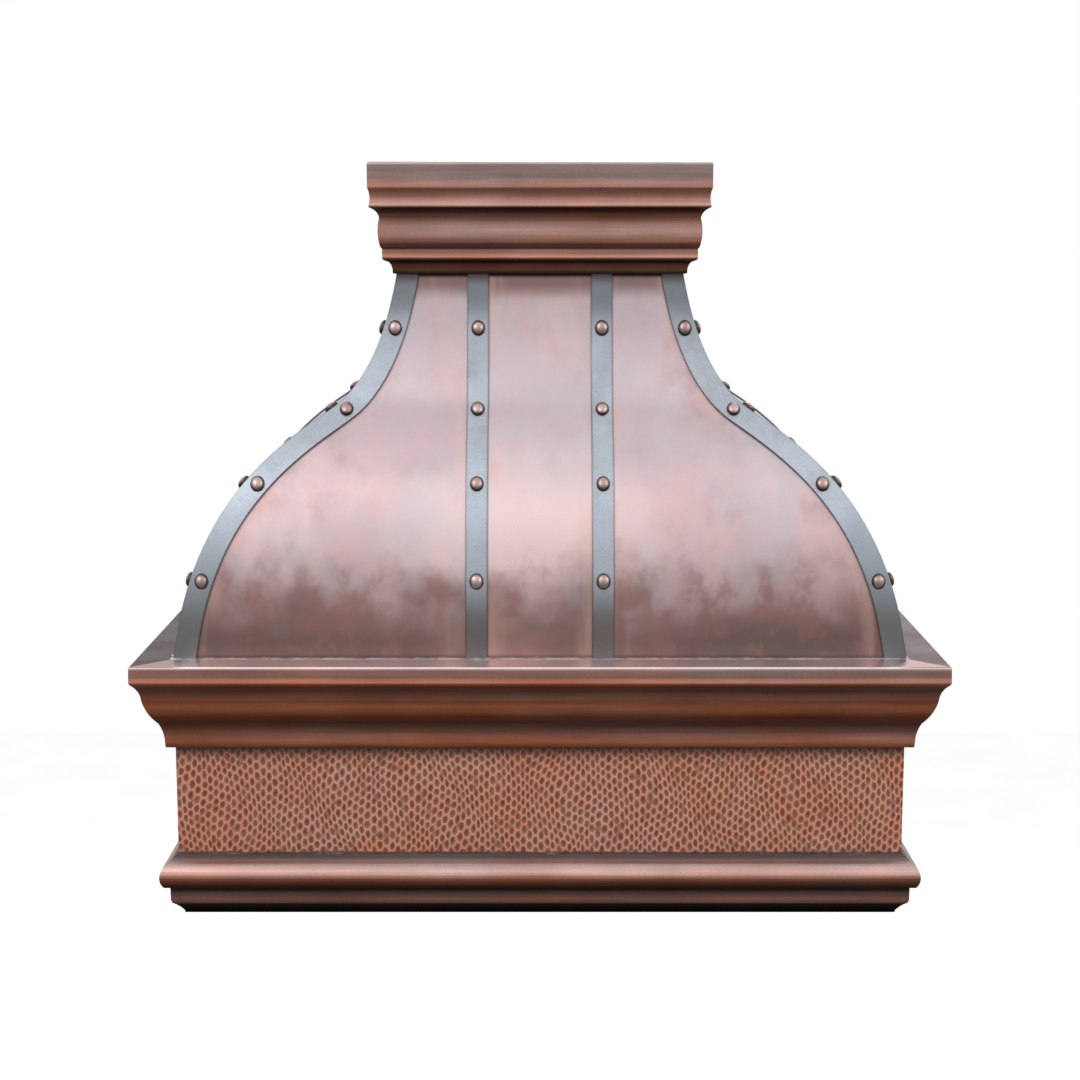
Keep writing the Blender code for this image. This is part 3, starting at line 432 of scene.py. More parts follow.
def black_plastic():
    """Moulded black plastic with a fine spark-eroded grain."""
    p = Paint("black_plastic", 0.0, Specular_IOR_Level=0.5)
    grain = p.noise(1500, 2)
    p.base = p.mix(p.smooth(p.noise(40), 0.35, 0.7), (0.018, 0.018, 0.019), (0.035, 0.034, 0.033))
    return p.finish(p.swing(grain, 0.36, 0.52), (grain, 0.25, 0.0001))


def white_mark():
    """The printed line on a knob."""
    p = Paint("white_mark", 0.0)
    grain = p.noise(900)
    p.base = p.mix(p.smooth(grain, 0.45, 0.75), (0.82, 0.82, 0.8), (0.6, 0.6, 0.58))
    return p.finish(p.swing(grain, 0.45, 0.6))


def lamp_glass():
    """Lens of pressed glass, slightly frosted."""
    p = Paint("lamp_glass", 0.0, Transmission_Weight=0.55, IOR=1.5)
    frost = p.noise(700)
    p.base = p.mix(p.smooth(frost, 0.4, 0.7), (0.94, 0.94, 0.91), (0.8, 0.8, 0.77))
    return p.finish(p.swing(frost, 0.16, 0.32), (frost, 0.1, 0.0002))


METALS = (aged_copper, patina_copper, hammered_copper, grey_iron, rivet_copper, solder, dull_solder)
FITTINGS = (brushed_steel, galvanised, frame_steel, black_plastic, white_mark, lamp_glass)
FINISHES = {make.__name__: make() for make in METALS + FITTINGS}


# ---------------- mesh helpers


def mesh_of(name, shape):
    mesh = bpy.data.meshes.new(name)
    shape.to_mesh(mesh)
    shape.free()
    return mesh


def added(name, data):
    """A new object in the scene."""
    made = bpy.data.objects.new(name, data)
    bpy.context.scene.collection.objects.link(made)
    return made


def piece(name, shape, finish, nodes=(), body="hood", sharp=38):
    """Turns a bmesh into a piece that rides on a body and stands for CAD nodes."""
    bmesh.ops.recalc_face_normals(shape, faces=shape.faces)
    mesh = mesh_of(name, shape)
    mesh.materials.append(FINISHES[finish])
    mesh.shade_smooth()
    mesh.set_sharp_from_angle(angle=math.radians(sharp))
    made = added(name, mesh)
    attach(made, body)
    if nodes:
        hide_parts(*nodes)
    return made


def tag(vert, layers, *values):
    for layer, value in zip(layers, values):
        vert[layer] = value
    return vert


def bridged(shape, loops, names, closed):
    """Joins loops of points with faces; a loop of one point is a tip. Attribute values follow a point's xyz."""
    layers = [shape.verts.layers.float.get(n) or shape.verts.layers.float.new(n) for n in names]
    rows = [[tag(shape.verts.new(point[:3]), layers, *point[3:]) for point in loop] for loop in loops]
    for first, second in zip(rows, rows[1:] + rows[:1] if closed else rows[1:]):
        count = max(len(first), len(second))
        for i in range(count):
            pair = (i, (i + 1) % count)
            corners = [first[k % len(first)] for k in pair] + [second[k % len(second)] for k in reversed(pair)]
            shape.faces.new(list(dict.fromkeys(corners)))
    return rows


def loft(loops, names=(), closed=False):
    """Joins loops of points, and caps the ends unless it closes on itself."""
    shape = bmesh.new()
    rows = bridged(shape, loops, names, closed)
    if not closed:
        shape.faces.new(rows[0])
        shape.faces.new(rows[-1])
    return shape


def rectangle(half_x, half_y, z):
    """The four corners of a level rectangle."""
    return [(half_x, -half_y, z), (half_x, half_y, z), (-half_x, half_y, z), (-half_x, -half_y, z)]


def turned(profile, sides, place=Matrix(), names=(), shape=None, reach=None):
    """Spins (radius, height, attributes...) points about Z; a radius of 0 closes it on the axis."""
    shape = shape or bmesh.new()
    loops = []
    for radius, height, *values in profile:
        loop = []
        for i in range(sides if radius else 1):
            angle = 2 * math.pi * i / sides
            out = reach(radius, angle) if reach else radius
            loop.append((*(place @ Vector((out * math.cos(angle), out * math.sin(angle), height))), *values))
        loops.append(loop)
    bridged(shape, loops, names, closed=profile[0][0] != 0)
    return shape


# ---------------- outlines


def arc_points(start, end, bulge, steps):
    """Points after start along the circular arc to end, whose sagitta is bulge times the chord."""
    start, end = Vector(start), Vector(end)
    if bulge == 0:
        return [tuple(end)]
    chord = end - start
    outward = Vector((-chord.y, chord.x))
    half_angle = 2 * math.atan(2 * bulge)
    radius = chord.length / 2 / math.sin(half_angle)
    centre = (start + end) / 2 - outward.normalized() * radius * math.cos(half_angle)
    points = []
    for i in range(1, steps + 1):
        turn = -2 * half_angle * i / steps
        arm = start - centre
        x = arm.x * math.cos(turn) - arm.y * math.sin(turn)
        y = arm.x * math.sin(turn) + arm.y * math.cos(turn)
        points.append((centre.x + x, centre.y + y))
    return points


def outline_of(moulding, steps):
    """A moulding's outline as (projection, height) points, with its arcs drawn."""
    points = [moulding[0][:2]]
    for p, z, bulge in moulding[1:]:
        points += arc_points(points[-1], (p, z), bulge, steps)
    return points


def blended(a, b, t):
    return tuple(x + (y - x) * t for x, y in zip(a, b))


def row_at(table, height):
    """A table's row at a height, blended from the rows round it. Its first column runs downwards."""
    for upper, lower in zip(table, table[1:]):
        if lower[0] <= height <= upper[0]:
            return blended(upper, lower, (upper[0] - height) / (upper[0] - lower[0]))
    return None


def patina_and_shading_at(height, patina_and_shading):
    """How light the copper is painted at a height, with its painted highlights and shadows, and how warm its patina
    is.
    """
    return (row_at(patina_and_shading, height) or patina_and_shading[-1])[1:]


def inner_side(outline, thickness):
    """The outline moved inwards by the sheet's thickness, with mitred corners."""
    moved = []
    for i, point in enumerate(outline):
        here = Vector(point)
        sides = []
        if i > 0:
            sides.append((here - Vector(outline[i - 1])).normalized())
        if i < len(outline) - 1:
            sides.append((Vector(outline[i + 1]) - here).normalized())
        inward = [Vector((side.y, -side.x)) for side in sides]
        bisector = sum(inward, Vector((0, 0))).normalized()
        moved.append(tuple(here + bisector * thickness / max(bisector.dot(inward[0]), 0.5)))
    return moved


CORNER_RADIUS = 0.0011
SHARP_TURN = math.radians(16)
# How far the rubbed and painted-shade corner marks reach, and the spacing of points along them
WEAR_AND_SHADE_REACH = 0.0028
WEAR_AND_SHADE_STEP = 0.0012


def rounded(points, radius):
    """Rounds the sharp corners of (x, y, ...) points; returns points and the convexity of each corner."""
    soft, turns = [points[0]], {}
    for before, here, after in zip(points, points[1:], points[2:]):
        into = Vector(here[:2]) - Vector(before[:2])
        away = Vector(after[:2]) - Vector(here[:2])
        turn = math.atan2(into.x * away.y - into.y * away.x, into.dot(away))
        if abs(turn) < SHARP_TURN:
            soft.append(here)
            continue
        start = blended(here, before, min(radius / into.length, 0.45))
        end = blended(here, after, min(radius / away.length, 0.45))
        turns[len(soft) + 2] = max(-1.0, min(1.0, -turn / math.radians(60)))
        for k in range(5):
            t = k / 4
            soft.append(blended(blended(start, here, t), blended(here, end, t), t))
    soft.append(points[-1])
    return soft, turns


def stops_along(length, even):
    """Where extra points go along a straight run: evenly, or close together by its ends."""
    if even:
        parts = math.ceil(length / WEAR_AND_SHADE_STEP)
        return [length * k / parts for k in range(1, parts)]
    near = [d for d in (0.0008, 0.0018, 0.0032, 0.0055) if d < length / 2 - 0.0004]
    middle = [length / 2] if length > 0.002 else []
    return near + middle + [length - d for d in reversed(near)]


def worn_and_shaded(points, radius=CORNER_RADIUS, reach=WEAR_AND_SHADE_REACH, even=True):
    """Rounds an outline and adds to each point how rubbed (+) it is by a convex corner, or how darkened (-) by a
    concave one, partly painted shade and partly grime.
    """
    soft, turns = rounded(points, radius)
    marks, run = [], 0.0
    dense, lengths = [soft[0]], [0.0]
    for i in range(1, len(soft)):
        length = (Vector(soft[i][:2]) - Vector(soft[i - 1][:2])).length
        if i - 1 in turns:
            marks.append((run, turns[i - 1]))
        for stop in stops_along(length, even):
            dense.append(blended(soft[i - 1], soft[i], stop / length))
            lengths.append(run + stop)
        run += length
        dense.append(soft[i])
        lengths.append(run)
    finished = []
    for point, along in zip(dense, lengths):
        wear_and_shade = 0.0
        for where, strength in marks:
            share = strength * math.exp(-(((along - where) / reach) ** 2))
            if abs(share) > abs(wear_and_shade):
                wear_and_shade = share
        finished.append((*point, wear_and_shade))
    return finished


# ---------------- mouldings


OUTSIDE_STEPS = 10
INSIDE_STEPS = 4
BEAD_PITCH = 0.007
# Across a bead: how far out and how high, as shares of its half width and rise
BEAD_SECTION = ((-1.0, 0.0), (-1.0, 0.55), (-0.45, 1.0), (0.25, 0.8), (0.8, 0.35), (1.0, 0.0))


def moulding_piece(name, moulding, patina_and_shading, half, node):
    """Sheet copper bent to an outline and mitred round a rectangle."""
    # Each outline point takes its painted light and shade and its patina warmth from the table, and its corner mark
    section = [(p, z, *patina_and_shading_at(z, patina_and_shading), wear_and_shade) for p, z, wear_and_shade in worn_and_shaded(outline_of(moulding, OUTSIDE_STEPS))]
    inner = inner_side(outline_of(moulding, INSIDE_STEPS), COPPER)
    # The inside faces are painted dark as shade
    section += [(p, z, *INSIDE_SHADE, 0.0) for p, z in reversed(inner)]
    loops = []
    for p, z, *marks in section:
        loops.append([(*corner, *marks) for corner in rectangle(half[0] + p, half[1] + p, at(z))])
    piece(name, loft(loops, ("light", "warmth", "edge"), closed=True), "aged_copper", [node])


def bead(name, half, size, finish, seed):
    """A lumpy run of solder round a rectangle, with its flat side down."""
    rng = random.Random(seed)
    width, rise, z = size
    corners = rectangle(1, 1, 0)
    stations = []
    for i, (sx, sy, _) in enumerate(corners):
        ex, ey, _ = corners[(i + 1) % 4]
        length = 2 * (half[1] if sx == ex else half[0])
        steps = int(length / BEAD_PITCH)
        for k in range(steps):
            t = k / steps
            swell = 1.0 if k == 0 else rng.uniform(0.55, 1.15) * (1.7 if rng.random() < 0.05 else 1.0)
            stations.append((sx + (ex - sx) * t, sy + (ey - sy) * t, k == 0, sx == ex, swell))
    loops = []
    for x, y, corner, upright, swell in stations:
        out_x = math.copysign(1, x) if corner or upright else 0
        out_y = math.copysign(1, y) if corner or not upright else 0
        loop = []
        for d, h in BEAD_SECTION:
            reach = d * width * (swell if d > 0 else 1.0)
            loop.append((x * half[0] + out_x * reach, y * half[1] + out_y * reach, at(z) + h * rise * swell))
        loops.append(loop)
    piece(name, loft(loops, closed=True), finish)


moulding_piece("crown_copper", CROWN, CROWN_PATINA_AND_SHADING, NECK, "crown_moulding")
moulding_piece("cornice_copper", CORNICE, CORNICE_PATINA_AND_SHADING, APRON, "cornice_moulding")
moulding_piece("base_copper", BASE, BASE_PATINA_AND_SHADING, APRON, "base_moulding")
bead("foot_solder", FOOT, FOOT_SOLDER, "solder", 7)
bead("apron_solder", APRON, APRON_SOLDER, "dull_solder", 8)


# ---------------- canopy


def bezier(start, handles, end, steps):
    """Points along a cubic Bezier arc, without its first."""
    corners = [Vector(p) for p in (start, *handles, end)]
    points = []
    for i in range(1, steps + 1):
        t = i / steps
        weights = ((1 - t) ** 3, 3 * (1 - t) ** 2 * t, 3 * (1 - t) * t**2, t**3)
        points.append(sum((w * c for w, c in zip(weights, corners)), Vector((0, 0))))
    return points


def bell(top_z, foot_z=SHELF_Z + GAP):
    """The body's curve from top to foot as (half width, height) points."""
    neck = Vector((NECK[0], BODY_TOP_Z))
    points = [Vector((NECK[0], top_z)), neck]
    points += bezier(neck, BELL_UPPER_HANDLES, BELL_MID, BELL_STEPS)
    points += bezier(BELL_MID, BELL_LOWER_HANDLES, (FOOT[0], foot_z), BELL_STEPS)
    for _ in range(BELL_SMOOTHINGS):
        inner = [(a + 2 * b + c) / 4 for a, b, c in zip(points[2:], points[3:], points[4:])]
        points[3:-1] = inner
    return [tuple(point) for point in points]


def depth_at(half_width):
    """The body's half depth where it is this wide."""
    return NECK[1] + (half_width - NECK[0]) * DEPTH_SHARE


def direction(path, i):
    """The way a path runs at its point i."""
    return (path[min(i + 1, len(path) - 1)] - path[max(i - 1, 0)]).normalized()


def leg_edge(run_share, lean_share):
    """(height, level width) down a corner strap's leg, whose inner edge is the corner's curve set over by its width.

    The shares say how far the face's corner runs sideways and how far the face leans, for each metre of slope.
    """
    path, travelled = [], 0.0
    levels = bell(STRAP_TOP_Z)
    for before, here in zip([levels[0], *levels], levels):
        travelled += math.hypot(before[1] - here[1], (here[0] - before[0]) * lean_share)
        path.append(Vector((here[0] * run_share, travelled)))
    inner = []
    for i, point in enumerate(path):
        run = direction(path, i)
        inner.append(point + STRAP_WIDTH * Vector((-run.y, run.x)))
    edge = []
    for level, point in zip(levels, path):
        width = STRAP_WIDTH
        for upper, lower in zip(inner, inner[1:]):
            if upper.y <= point.y <= lower.y:
                width = point.x - (upper.x + (lower.x - upper.x) * (point.y - upper.y) / (lower.y - upper.y))
        edge.append((level[1], width))
    return edge


LEG_EDGES = (leg_edge(1.0, DEPTH_SHARE), leg_edge(DEPTH_SHARE, 1.0))


def leg_widths(height):
    """A corner strap's level widths on the front and side faces at a height."""
    return [(row_at(edge, height) or (height, STRAP_WIDTH))[1] for edge in LEG_EDGES]


# Columns by a strap's edge, in metres from it, and out in the open, as shares of the way
CREASE = (-0.001, 0.0, 0.0006, 0.0015, 0.003, 0.0055, 0.01)
OPEN = (0.12, 0.3, 0.5, 0.7, 0.88)


def columns_between(inner, outer, inner_strap):
    """Positions from one strap's edge to the next, close together by each edge."""
    first = [inner + d for d in CREASE] if inner_strap else [inner]
    last = [outer - d for d in reversed(CREASE)]
    return first + [first[-1] + (last[0] - first[-1]) * t for t in OPEN] + last


def panel_columns(edge, half, straps):
    """Columns across one sheet as (position, distance to the nearest strap's edge)."""
    right = []
    if straps:
        low, high = FACE_STRAP_X - FACE_STRAP_WIDTH / 2, FACE_STRAP_X + FACE_STRAP_WIDTH / 2
        right += [(x, low - x) for x in columns_between(0.0, low, False)]
        right += [(x, x - high if x - high < edge - x else edge - x) for x in columns_between(high, edge, True)]
    else:
        right += [(x, edge - x) for x in columns_between(0.0, edge, False)]
    right.append((half, 0.0))
    right = [(x, max(0.0, gap)) for x, gap in right]
    return [(-x, gap) for x, gap in reversed(right[1:])] + right


def panel_piece(name, node, front, side):
    """One bell-curved body sheet with its seam distances."""
    inset = STRAP + GAP
    loops = []
    for wide, z in bell(PANEL_TOP_Z):
        deep = depth_at(wide)
        on_front, on_side = leg_widths(z)
        if front:
            half, edge, face = wide - inset - SHEET - GAP, wide - on_front, deep - inset
        else:
            half, edge, face = deep - inset, deep - on_side, wide - inset
        columns = panel_columns(edge, half, front)
        flat = [(a, face, gap) for a, gap in columns] + [(half, face - SHEET, 0.0), (-half, face - SHEET, 0.0)]
        if front:
            loops.append([(a, side * out, at(z), gap) for a, out, gap in flat])
        else:
            loops.append([(side * out, a, at(z), gap) for a, out, gap in flat])
    piece(name, loft(loops, ("seam",)), "patina_copper", [node])


panel_piece("front_copper", "front_panel", True, -1)
panel_piece("rear_copper", "rear_panel", True, 1)
panel_piece("left_copper", "left_panel", False, -1)
panel_piece("right_copper", "right_panel", False, 1)


# Straps and their rivets

STRAP_ROUND = 0.0009
STRAP_EDGE_SHADE = 0.0016
DOME_ROWS = 9
DOME_LIT_ROWS = 3
DOME_SIDES = 28
DOME_RIM = 0.0007
DOME_FOOT = -0.0012
RIVET_STRETCH = 1.16


def strap_section(outline, shares):
    """An outline's rounded corners with the dark-edge attribute; shares are not used."""
    points = [(x, y, share) for (x, y), share in zip(outline, shares)]
    # Start in the middle of the last side, so that every corner is an inner point
    middle = blended(points[-1], points[0], 0.5)
    # The edge attribute paints shade along the strap's edges
    soft = worn_and_shaded([middle, *points, middle], STRAP_ROUND, STRAP_EDGE_SHADE, even=False)
    return [(x, y, abs(wear_and_shade)) for x, y, _, wear_and_shade in soft[:-1]]


def dome(shape, place, outward, rng):
    """A rivet head: a slightly uneven dome on a thin rim."""
    radius, rise = RIVET_RADIUS * rng.uniform(0.95, 1.0), RIVET_RISE * rng.uniform(0.92, 1.0)
    shade = rng.random()
    profile = [(0, rise, 0.0, shade)]
    for i in range(1, DOME_ROWS + 1):
        turn = math.pi / 2 * i / DOME_ROWS
        height = DOME_RIM + (rise - DOME_RIM) * math.cos(turn) ** 0.9
        # Below the lit top rows the head is painted darker towards its rim, and its rim and foot carry a painted
        # contact shadow
        dark = max(0.0, (i - DOME_LIT_ROWS) / (DOME_ROWS - DOME_LIT_ROWS))
        profile.append((0.95 * radius * math.sin(turn), height, dark, shade))
    profile += [(radius, 0.0004, 1.0, shade), (radius, DOME_FOOT, 1.0, shade), (0, DOME_FOOT, 1.0, shade)]
    across = Vector((0, 0, 1)).cross(outward).normalized()
    along = outward.cross(across) * RIVET_STRETCH
    facing = Matrix((across, along, outward)).transposed().to_4x4()
    lean = Matrix.Rotation(rng.uniform(-0.05, 0.05), 4, "X")
    turned(profile, DOME_SIDES, Matrix.Translation(place) @ facing @ lean, ("edge", "cell"), shape)


def level_at(height):
    """The bell's half width and slope at a height."""
    levels = bell(STRAP_TOP_Z)
    for upper, lower in zip(levels, levels[1:]):
        if lower[1] <= height <= upper[1]:
            t = (upper[1] - height) / (upper[1] - lower[1])
            return upper[0] + t * (lower[0] - upper[0]), (lower[0] - upper[0]) / (upper[1] - lower[1])
    raise ValueError(height)


def rivets(name, x_sign, y_sign, rng):
    """The heads on one strap: both legs of a corner strap, or a face strap at x_sign metres."""
    shape = bmesh.new()
    for height in RIVET_HEIGHTS:
        wide, slope = level_at(height)
        deep = depth_at(wide)
        on_front, on_side = leg_widths(height)
        front_facing = Vector((0, y_sign, slope * DEPTH_SHARE)).normalized()
        if abs(x_sign) < 1:
            dome(shape, (x_sign, y_sign * deep, at(height)), front_facing, rng)
            continue
        side_facing = Vector((x_sign, 0, slope)).normalized()
        dome(shape, (x_sign * (wide - on_front / 2), y_sign * deep, at(height)), front_facing, rng)
        dome(shape, (x_sign * wide, y_sign * (deep - on_side / 2), at(height)), side_facing, rng)
    piece(name, shape, "rivet_copper")


def strap_piece(name, node, section_at, shares, place):
    """A strap drawn down the bell; section_at gives its outline at a level, and place a point's x and y."""
    loops = []
    for wide, z in bell(STRAP_TOP_Z):
        section = strap_section(section_at(wide, depth_at(wide), z), shares)
        loops.append([(*place(x, y), at(z), edge) for x, y, edge in section])
    piece(name, loft(loops, ("edge",)), "grey_iron", [node])


def corner_outline(wide, deep, z):
    on_front, on_side = leg_widths(z)
    inner_x, inner_y = wide - STRAP, deep - STRAP
    legs = ((wide, deep), (wide - on_front, deep), (wide - on_front, inner_y))
    return (*legs, (inner_x, inner_y), (inner_x, deep - on_side), (wide, deep - on_side))


def face_outline(wide, deep, z):
    half = FACE_STRAP_WIDTH / 2
    return (-half, deep), (-half, deep - STRAP), (half, deep - STRAP), (half, deep)


def make_straps():
    rng = random.Random(11)
    for name, (x_sign, y_sign) in CORNERS.items():
        shares = (1, 1, 1, 0, 1, 1)
        place = lambda x, y: (x_sign * x, y_sign * y)
        strap_piece("corner_iron_" + name, "corner_strap_" + name, corner_outline, shares, place)
        rivets("corner_rivets_" + name, x_sign, y_sign, rng)
        centre = x_sign * FACE_STRAP_X
        place = lambda x, y: (centre + x, y_sign * y)
        strap_piece("face_iron_" + name, "face_strap_" + name, face_outline, (1, 0, 0, 1), place)
        rivets("face_rivets_" + name, centre, y_sign, rng)


make_straps()


# ---------------- hammered apron

COLUMN_PITCH = 0.0075
ROWS = 11
DIMPLE = 0.00095
# Rings inside a dimple: how far out they lie, how deep, and how rubbed
INNER_RINGS = ((0.66, 0.52, 0.34), (0.36, 0.94, 0.1))
OVAL = (0.95, 1.06)
TOP_SHADE = 0.015
FOOT_SHADE = 0.0014
SIDE_FADE = 0.003
END_FADE = 0.0025
WEAK_RIDGES = 0.1
TINY = 1e-5


def wander(u, v, seed):
    """A slow drift of the hammer's rows, so that they curve as hand work does."""
    x = 0.0042 * math.sin(u * 23 + seed) * math.cos(v * 31 + 2 * seed) + 0.0024 * math.sin(u * 61 + v * 47 + seed)
    y = 0.0048 * math.sin(u * 27 + 1.7 * seed) + 0.0026 * math.cos(u * 58 - v * 39 + seed)
    return x, y


def hammered_side(shape, layers, length, place, seed):
    """One side of the apron: hexagonal dimples on a drifting lattice, trimmed to the side's rectangle."""
    rng = random.Random(seed)
    low, high = APRON_Z
    columns = round(length / COLUMN_PITCH)
    pitch, period = length / columns, (high - low) / ROWS
    centres = {}
    for i in range(-2, columns + 3):
        for j in range(-2, ROWS + 3):
            u = i * pitch + rng.uniform(-0.19, 0.19) * pitch
            v = low + (j + (0.5 if i % 2 else 0.0)) * period + rng.uniform(-0.16, 0.16) * period
            shift = wander(u, v, seed)
            centres[i, j] = Vector((u + shift[0], v + shift[1]))
    flat = bmesh.new()
    tags = [flat.verts.layers.float.new(n) for n in ("depth", "ridge", "cell")]
    corners = {}

    def vert_at(point, *values):
        return tag(flat.verts.new((point.x, point.y, 0)), tags, *values)

    def corner(a, b, c):
        """The ridge point between three neighbouring dimples, made once."""
        key = tuple(sorted((a, b, c)))
        if key not in corners:
            weak = rng.random() < WEAK_RIDGES
            depth = rng.uniform(0.35, 0.6) if weak else rng.uniform(0.0, 0.22)
            ridge = rng.uniform(0.3, 0.6) if weak else rng.uniform(0.8, 1.0)
            corners[key] = vert_at((centres[a] + centres[b] + centres[c]) / 3, depth, ridge, rng.random())
        return corners[key]

    for i in range(-1, columns + 2):
        up = 1 if i % 2 else 0
        for j in range(-1, ROWS + 2):
            # The six neighbours in order round the dimple at (i, j)
            after = [(i + 1, j - 1 + up), (i + 1, j + up), (i, j + 1)]
            before = [(i - 1, j + up), (i - 1, j - 1 + up), (i, j - 1)]
            round_it = after + before
            ring = [corner((i, j), round_it[k], round_it[(k + 1) % 6]) for k in range(6)]
            middle = centres[i, j]
            strength, shade = rng.uniform(0.65, 1.15), rng.random()
            for scale, share, shine in INNER_RINGS:
                spots = [middle + (vert.co.xy - middle) * Vector(OVAL) * scale for vert in ring]
                smaller = [vert_at(spot, share * strength, shine, shade) for spot in spots]
                for k in range(6):
                    m = (k + 1) % 6
                    flat.faces.new((ring[k], ring[m], smaller[m], smaller[k]))
                ring = smaller
            tip = vert_at(middle, strength, 0.0, shade)
            for k in range(6):
                flat.faces.new((ring[k], ring[(k + 1) % 6], tip))
    cuts = (
        ((0, low, 0), (0, -1, 0)),
        ((0, high, 0), (0, 1, 0)),
        ((0, 0, 0), (-1, 0, 0)),
        ((length, 0, 0), (1, 0, 0)),
    )
    for spot, normal in cuts:
        everything = flat.verts[:] + flat.edges[:] + flat.faces[:]
        bmesh.ops.bisect_plane(flat, geom=everything, plane_co=spot, plane_no=normal, clear_outer=True, dist=1e-6)
    bmesh.ops.triangulate(flat, faces=flat.faces[:])
    copy_side(flat, tags, shape, layers, length, place)
    flat.free()


def copy_side(flat, tags, shape, layers, length, place):
    """Sinks the dimples, closes the sheet at its back, and sets it in place round the hood."""
    low, high = APRON_Z
    made = {}
    for vert in flat.verts:
        u, v = vert.co.x, vert.co.y
        side, end = min(u, length - u), min(v - low, high - v)
        fade = min(1.0, max(0.0, side / SIDE_FADE)) * min(1.0, max(0.0, end / END_FADE))
        # Painted shade, strongest under the cornice at the top and along the foot
        rim = max(math.exp(-(((high - v) / TOP_SHADE) ** 2)), math.exp(-(((v - low) / FOOT_SHADE) ** 2)))
        new = shape.verts.new(place(u, v, vert[tags[0]] * DIMPLE * fade))
        made[vert] = tag(new, layers, vert[tags[1]], vert[tags[2]], rim)
    for face in flat.faces:
        shape.faces.new([made[vert] for vert in face.verts])
    near, far = SHEET, length - SHEET
    backs = [shape.verts.new(place(u, v, SHEET)) for u, v in ((near, low), (near, high), (far, low), (far, high))]
    # For each edge of the side: where it lies, on which axis, and the two back corners that it runs between
    for lies, axis, first, last in ((low, 1, 0, 2), (high, 1, 1, 3), (0.0, 0, 0, 1), (length, 0, 2, 3)):
        on_edge = [vert for vert in flat.verts if abs(vert.co[axis] - lies) < TINY]
        border = sorted(on_edge, key=lambda vert: vert.co[1 - axis])
        for a, b in zip(border, border[1:]):
            shape.faces.new((made[a], made[b], backs[first]))
        shape.faces.new((made[border[-1]], backs[last], backs[first]))
    shape.faces.new([backs[k] for k in (0, 1, 3, 2)])


def make_apron():
    half_x, half_y = APRON
    shape = bmesh.new()
    layers = [shape.verts.layers.float.new(n) for n in ("ridge", "cell", "rim")]
    sides = (
        (2 * half_x, lambda u, v, d: (u - half_x, -half_y + d, at(v))),
        (2 * half_y, lambda u, v, d: (half_x - d, u - half_y, at(v))),
        (2 * half_x, lambda u, v, d: (half_x - u, half_y - d, at(v))),
        (2 * half_y, lambda u, v, d: (-half_x + d, half_y - u, at(v))),
    )
    for seed, (length, place) in enumerate(sides, 21):
        hammered_side(shape, layers, length, place, seed)
    piece("apron_copper", shape, "hammered_copper", ["apron_band"], sharp=75)


make_apron()


# ---------------- underside

FILTERS = {"left": -1, "centre": 0, "right": 1}
FILTER_HALF = (0.134, 0.17)
FILTER_MIDDLE_Y = -0.001
FILTER_PITCH = 0.2695
FILTER_Z = (0.033, 0.059)
FRAME_SHEET = 0.001
BAFFLES = 9
BAFFLE_PITCH = 0.0276
LOWER_BAFFLE = (0.0082, 0.0125)
UPPER_BAFFLE = (0.009, 0.0115)
BAFFLE_SHEET = 0.0008
BAFFLE_GAP = 0.0012
BAFFLE_END = 0.161
BAFFLE_BEND = 0.0022
HANDLE_PIVOT = (-0.105, 0.0295)
HANDLE_HALF = 0.04
HANDLE_REACH = 0.03
HANDLE_CORNER = 0.008
HANDLE_BEND = 0.0028
HANDLE_WIRE = 0.0023
WIRE_SIDES = 16
EAR_X = (0.043, 0.047)
EAR_RADIUS = 0.0045
KNOBS = {"fan_knob": -0.06, "light_knob": 0.06}
CONTROL_Y = -0.24
PANEL_HALF = (0.11, 0.028)
PAN_Z = 0.03
FLUTES = 24
DIAL_RADIUS = 0.0222
# A dial's dots: how many, the first one's angle and radius, and what each adds to them
DIAL_DOTS = 10
DIAL_ANGLES = (90, 30)
DIAL_SIZES = (0.0005, 0.00007)
DOT_SIDES = 16
KNOB_SIDES = 96
LAMPS = {
    "front_left": (-0.3, -0.24),
    "front_right": (0.3, -0.24),
    "rear_left": (-0.3, 0.24),
    "rear_right": (0.3, 0.24),
}
LAMP_SIDES = 72


def extruded(outline, low, high, place):
    """A closed outline drawn from low to high; place turns (a, b, depth) into a point."""
    return loft([[place(a, b, depth) for a, b in outline] for depth in (low, high)])


def joined(shapes):
    """One bmesh holding several."""
    whole = bmesh.new()
    for shape in shapes:
        mesh = mesh_of("part", shape)
        whole.from_mesh(mesh)
        bpy.data.meshes.remove(mesh)
    return whole


def quarter(centre, radius, start, steps=4):
    """Points along a quarter turn about a centre, from a start angle in degrees."""
    angles = [math.radians(start + 90 * i / steps) for i in range(steps + 1)]
    return [(centre[0] + radius * math.cos(angle), centre[1] + radius * math.sin(angle)) for angle in angles]


def bottom(half, low, radius):
    """A channel's lower side between two rounded corners."""
    return quarter((-half + radius, low + radius), radius, 180) + quarter((half - radius, low + radius), radius, 270)


def channel(half, rise, flip):
    """The section of a folded baffle: a U that opens upwards, or downwards where flip is -1."""
    inner_half = half - BAFFLE_SHEET
    inner = bottom(inner_half, BAFFLE_SHEET, BAFFLE_BEND - BAFFLE_SHEET)
    outline = [(-half, rise), *bottom(half, 0.0, BAFFLE_BEND), (half, rise)]
    outline += [(inner_half, rise), *reversed(inner), (-inner_half, rise)]
    return [(x, flip * z) for x, z in outline]


def rounded_rectangle(half_x, half_y, radius, z, steps=6):
    x, y = half_x - radius, half_y - radius
    points = []
    for centre, start in (((x, y), 0), ((-x, y), 90), ((-x, -y), 180), ((x, -y), 270)):
        points += [(*point, z) for point in quarter(centre, radius, start, steps)]
    return points


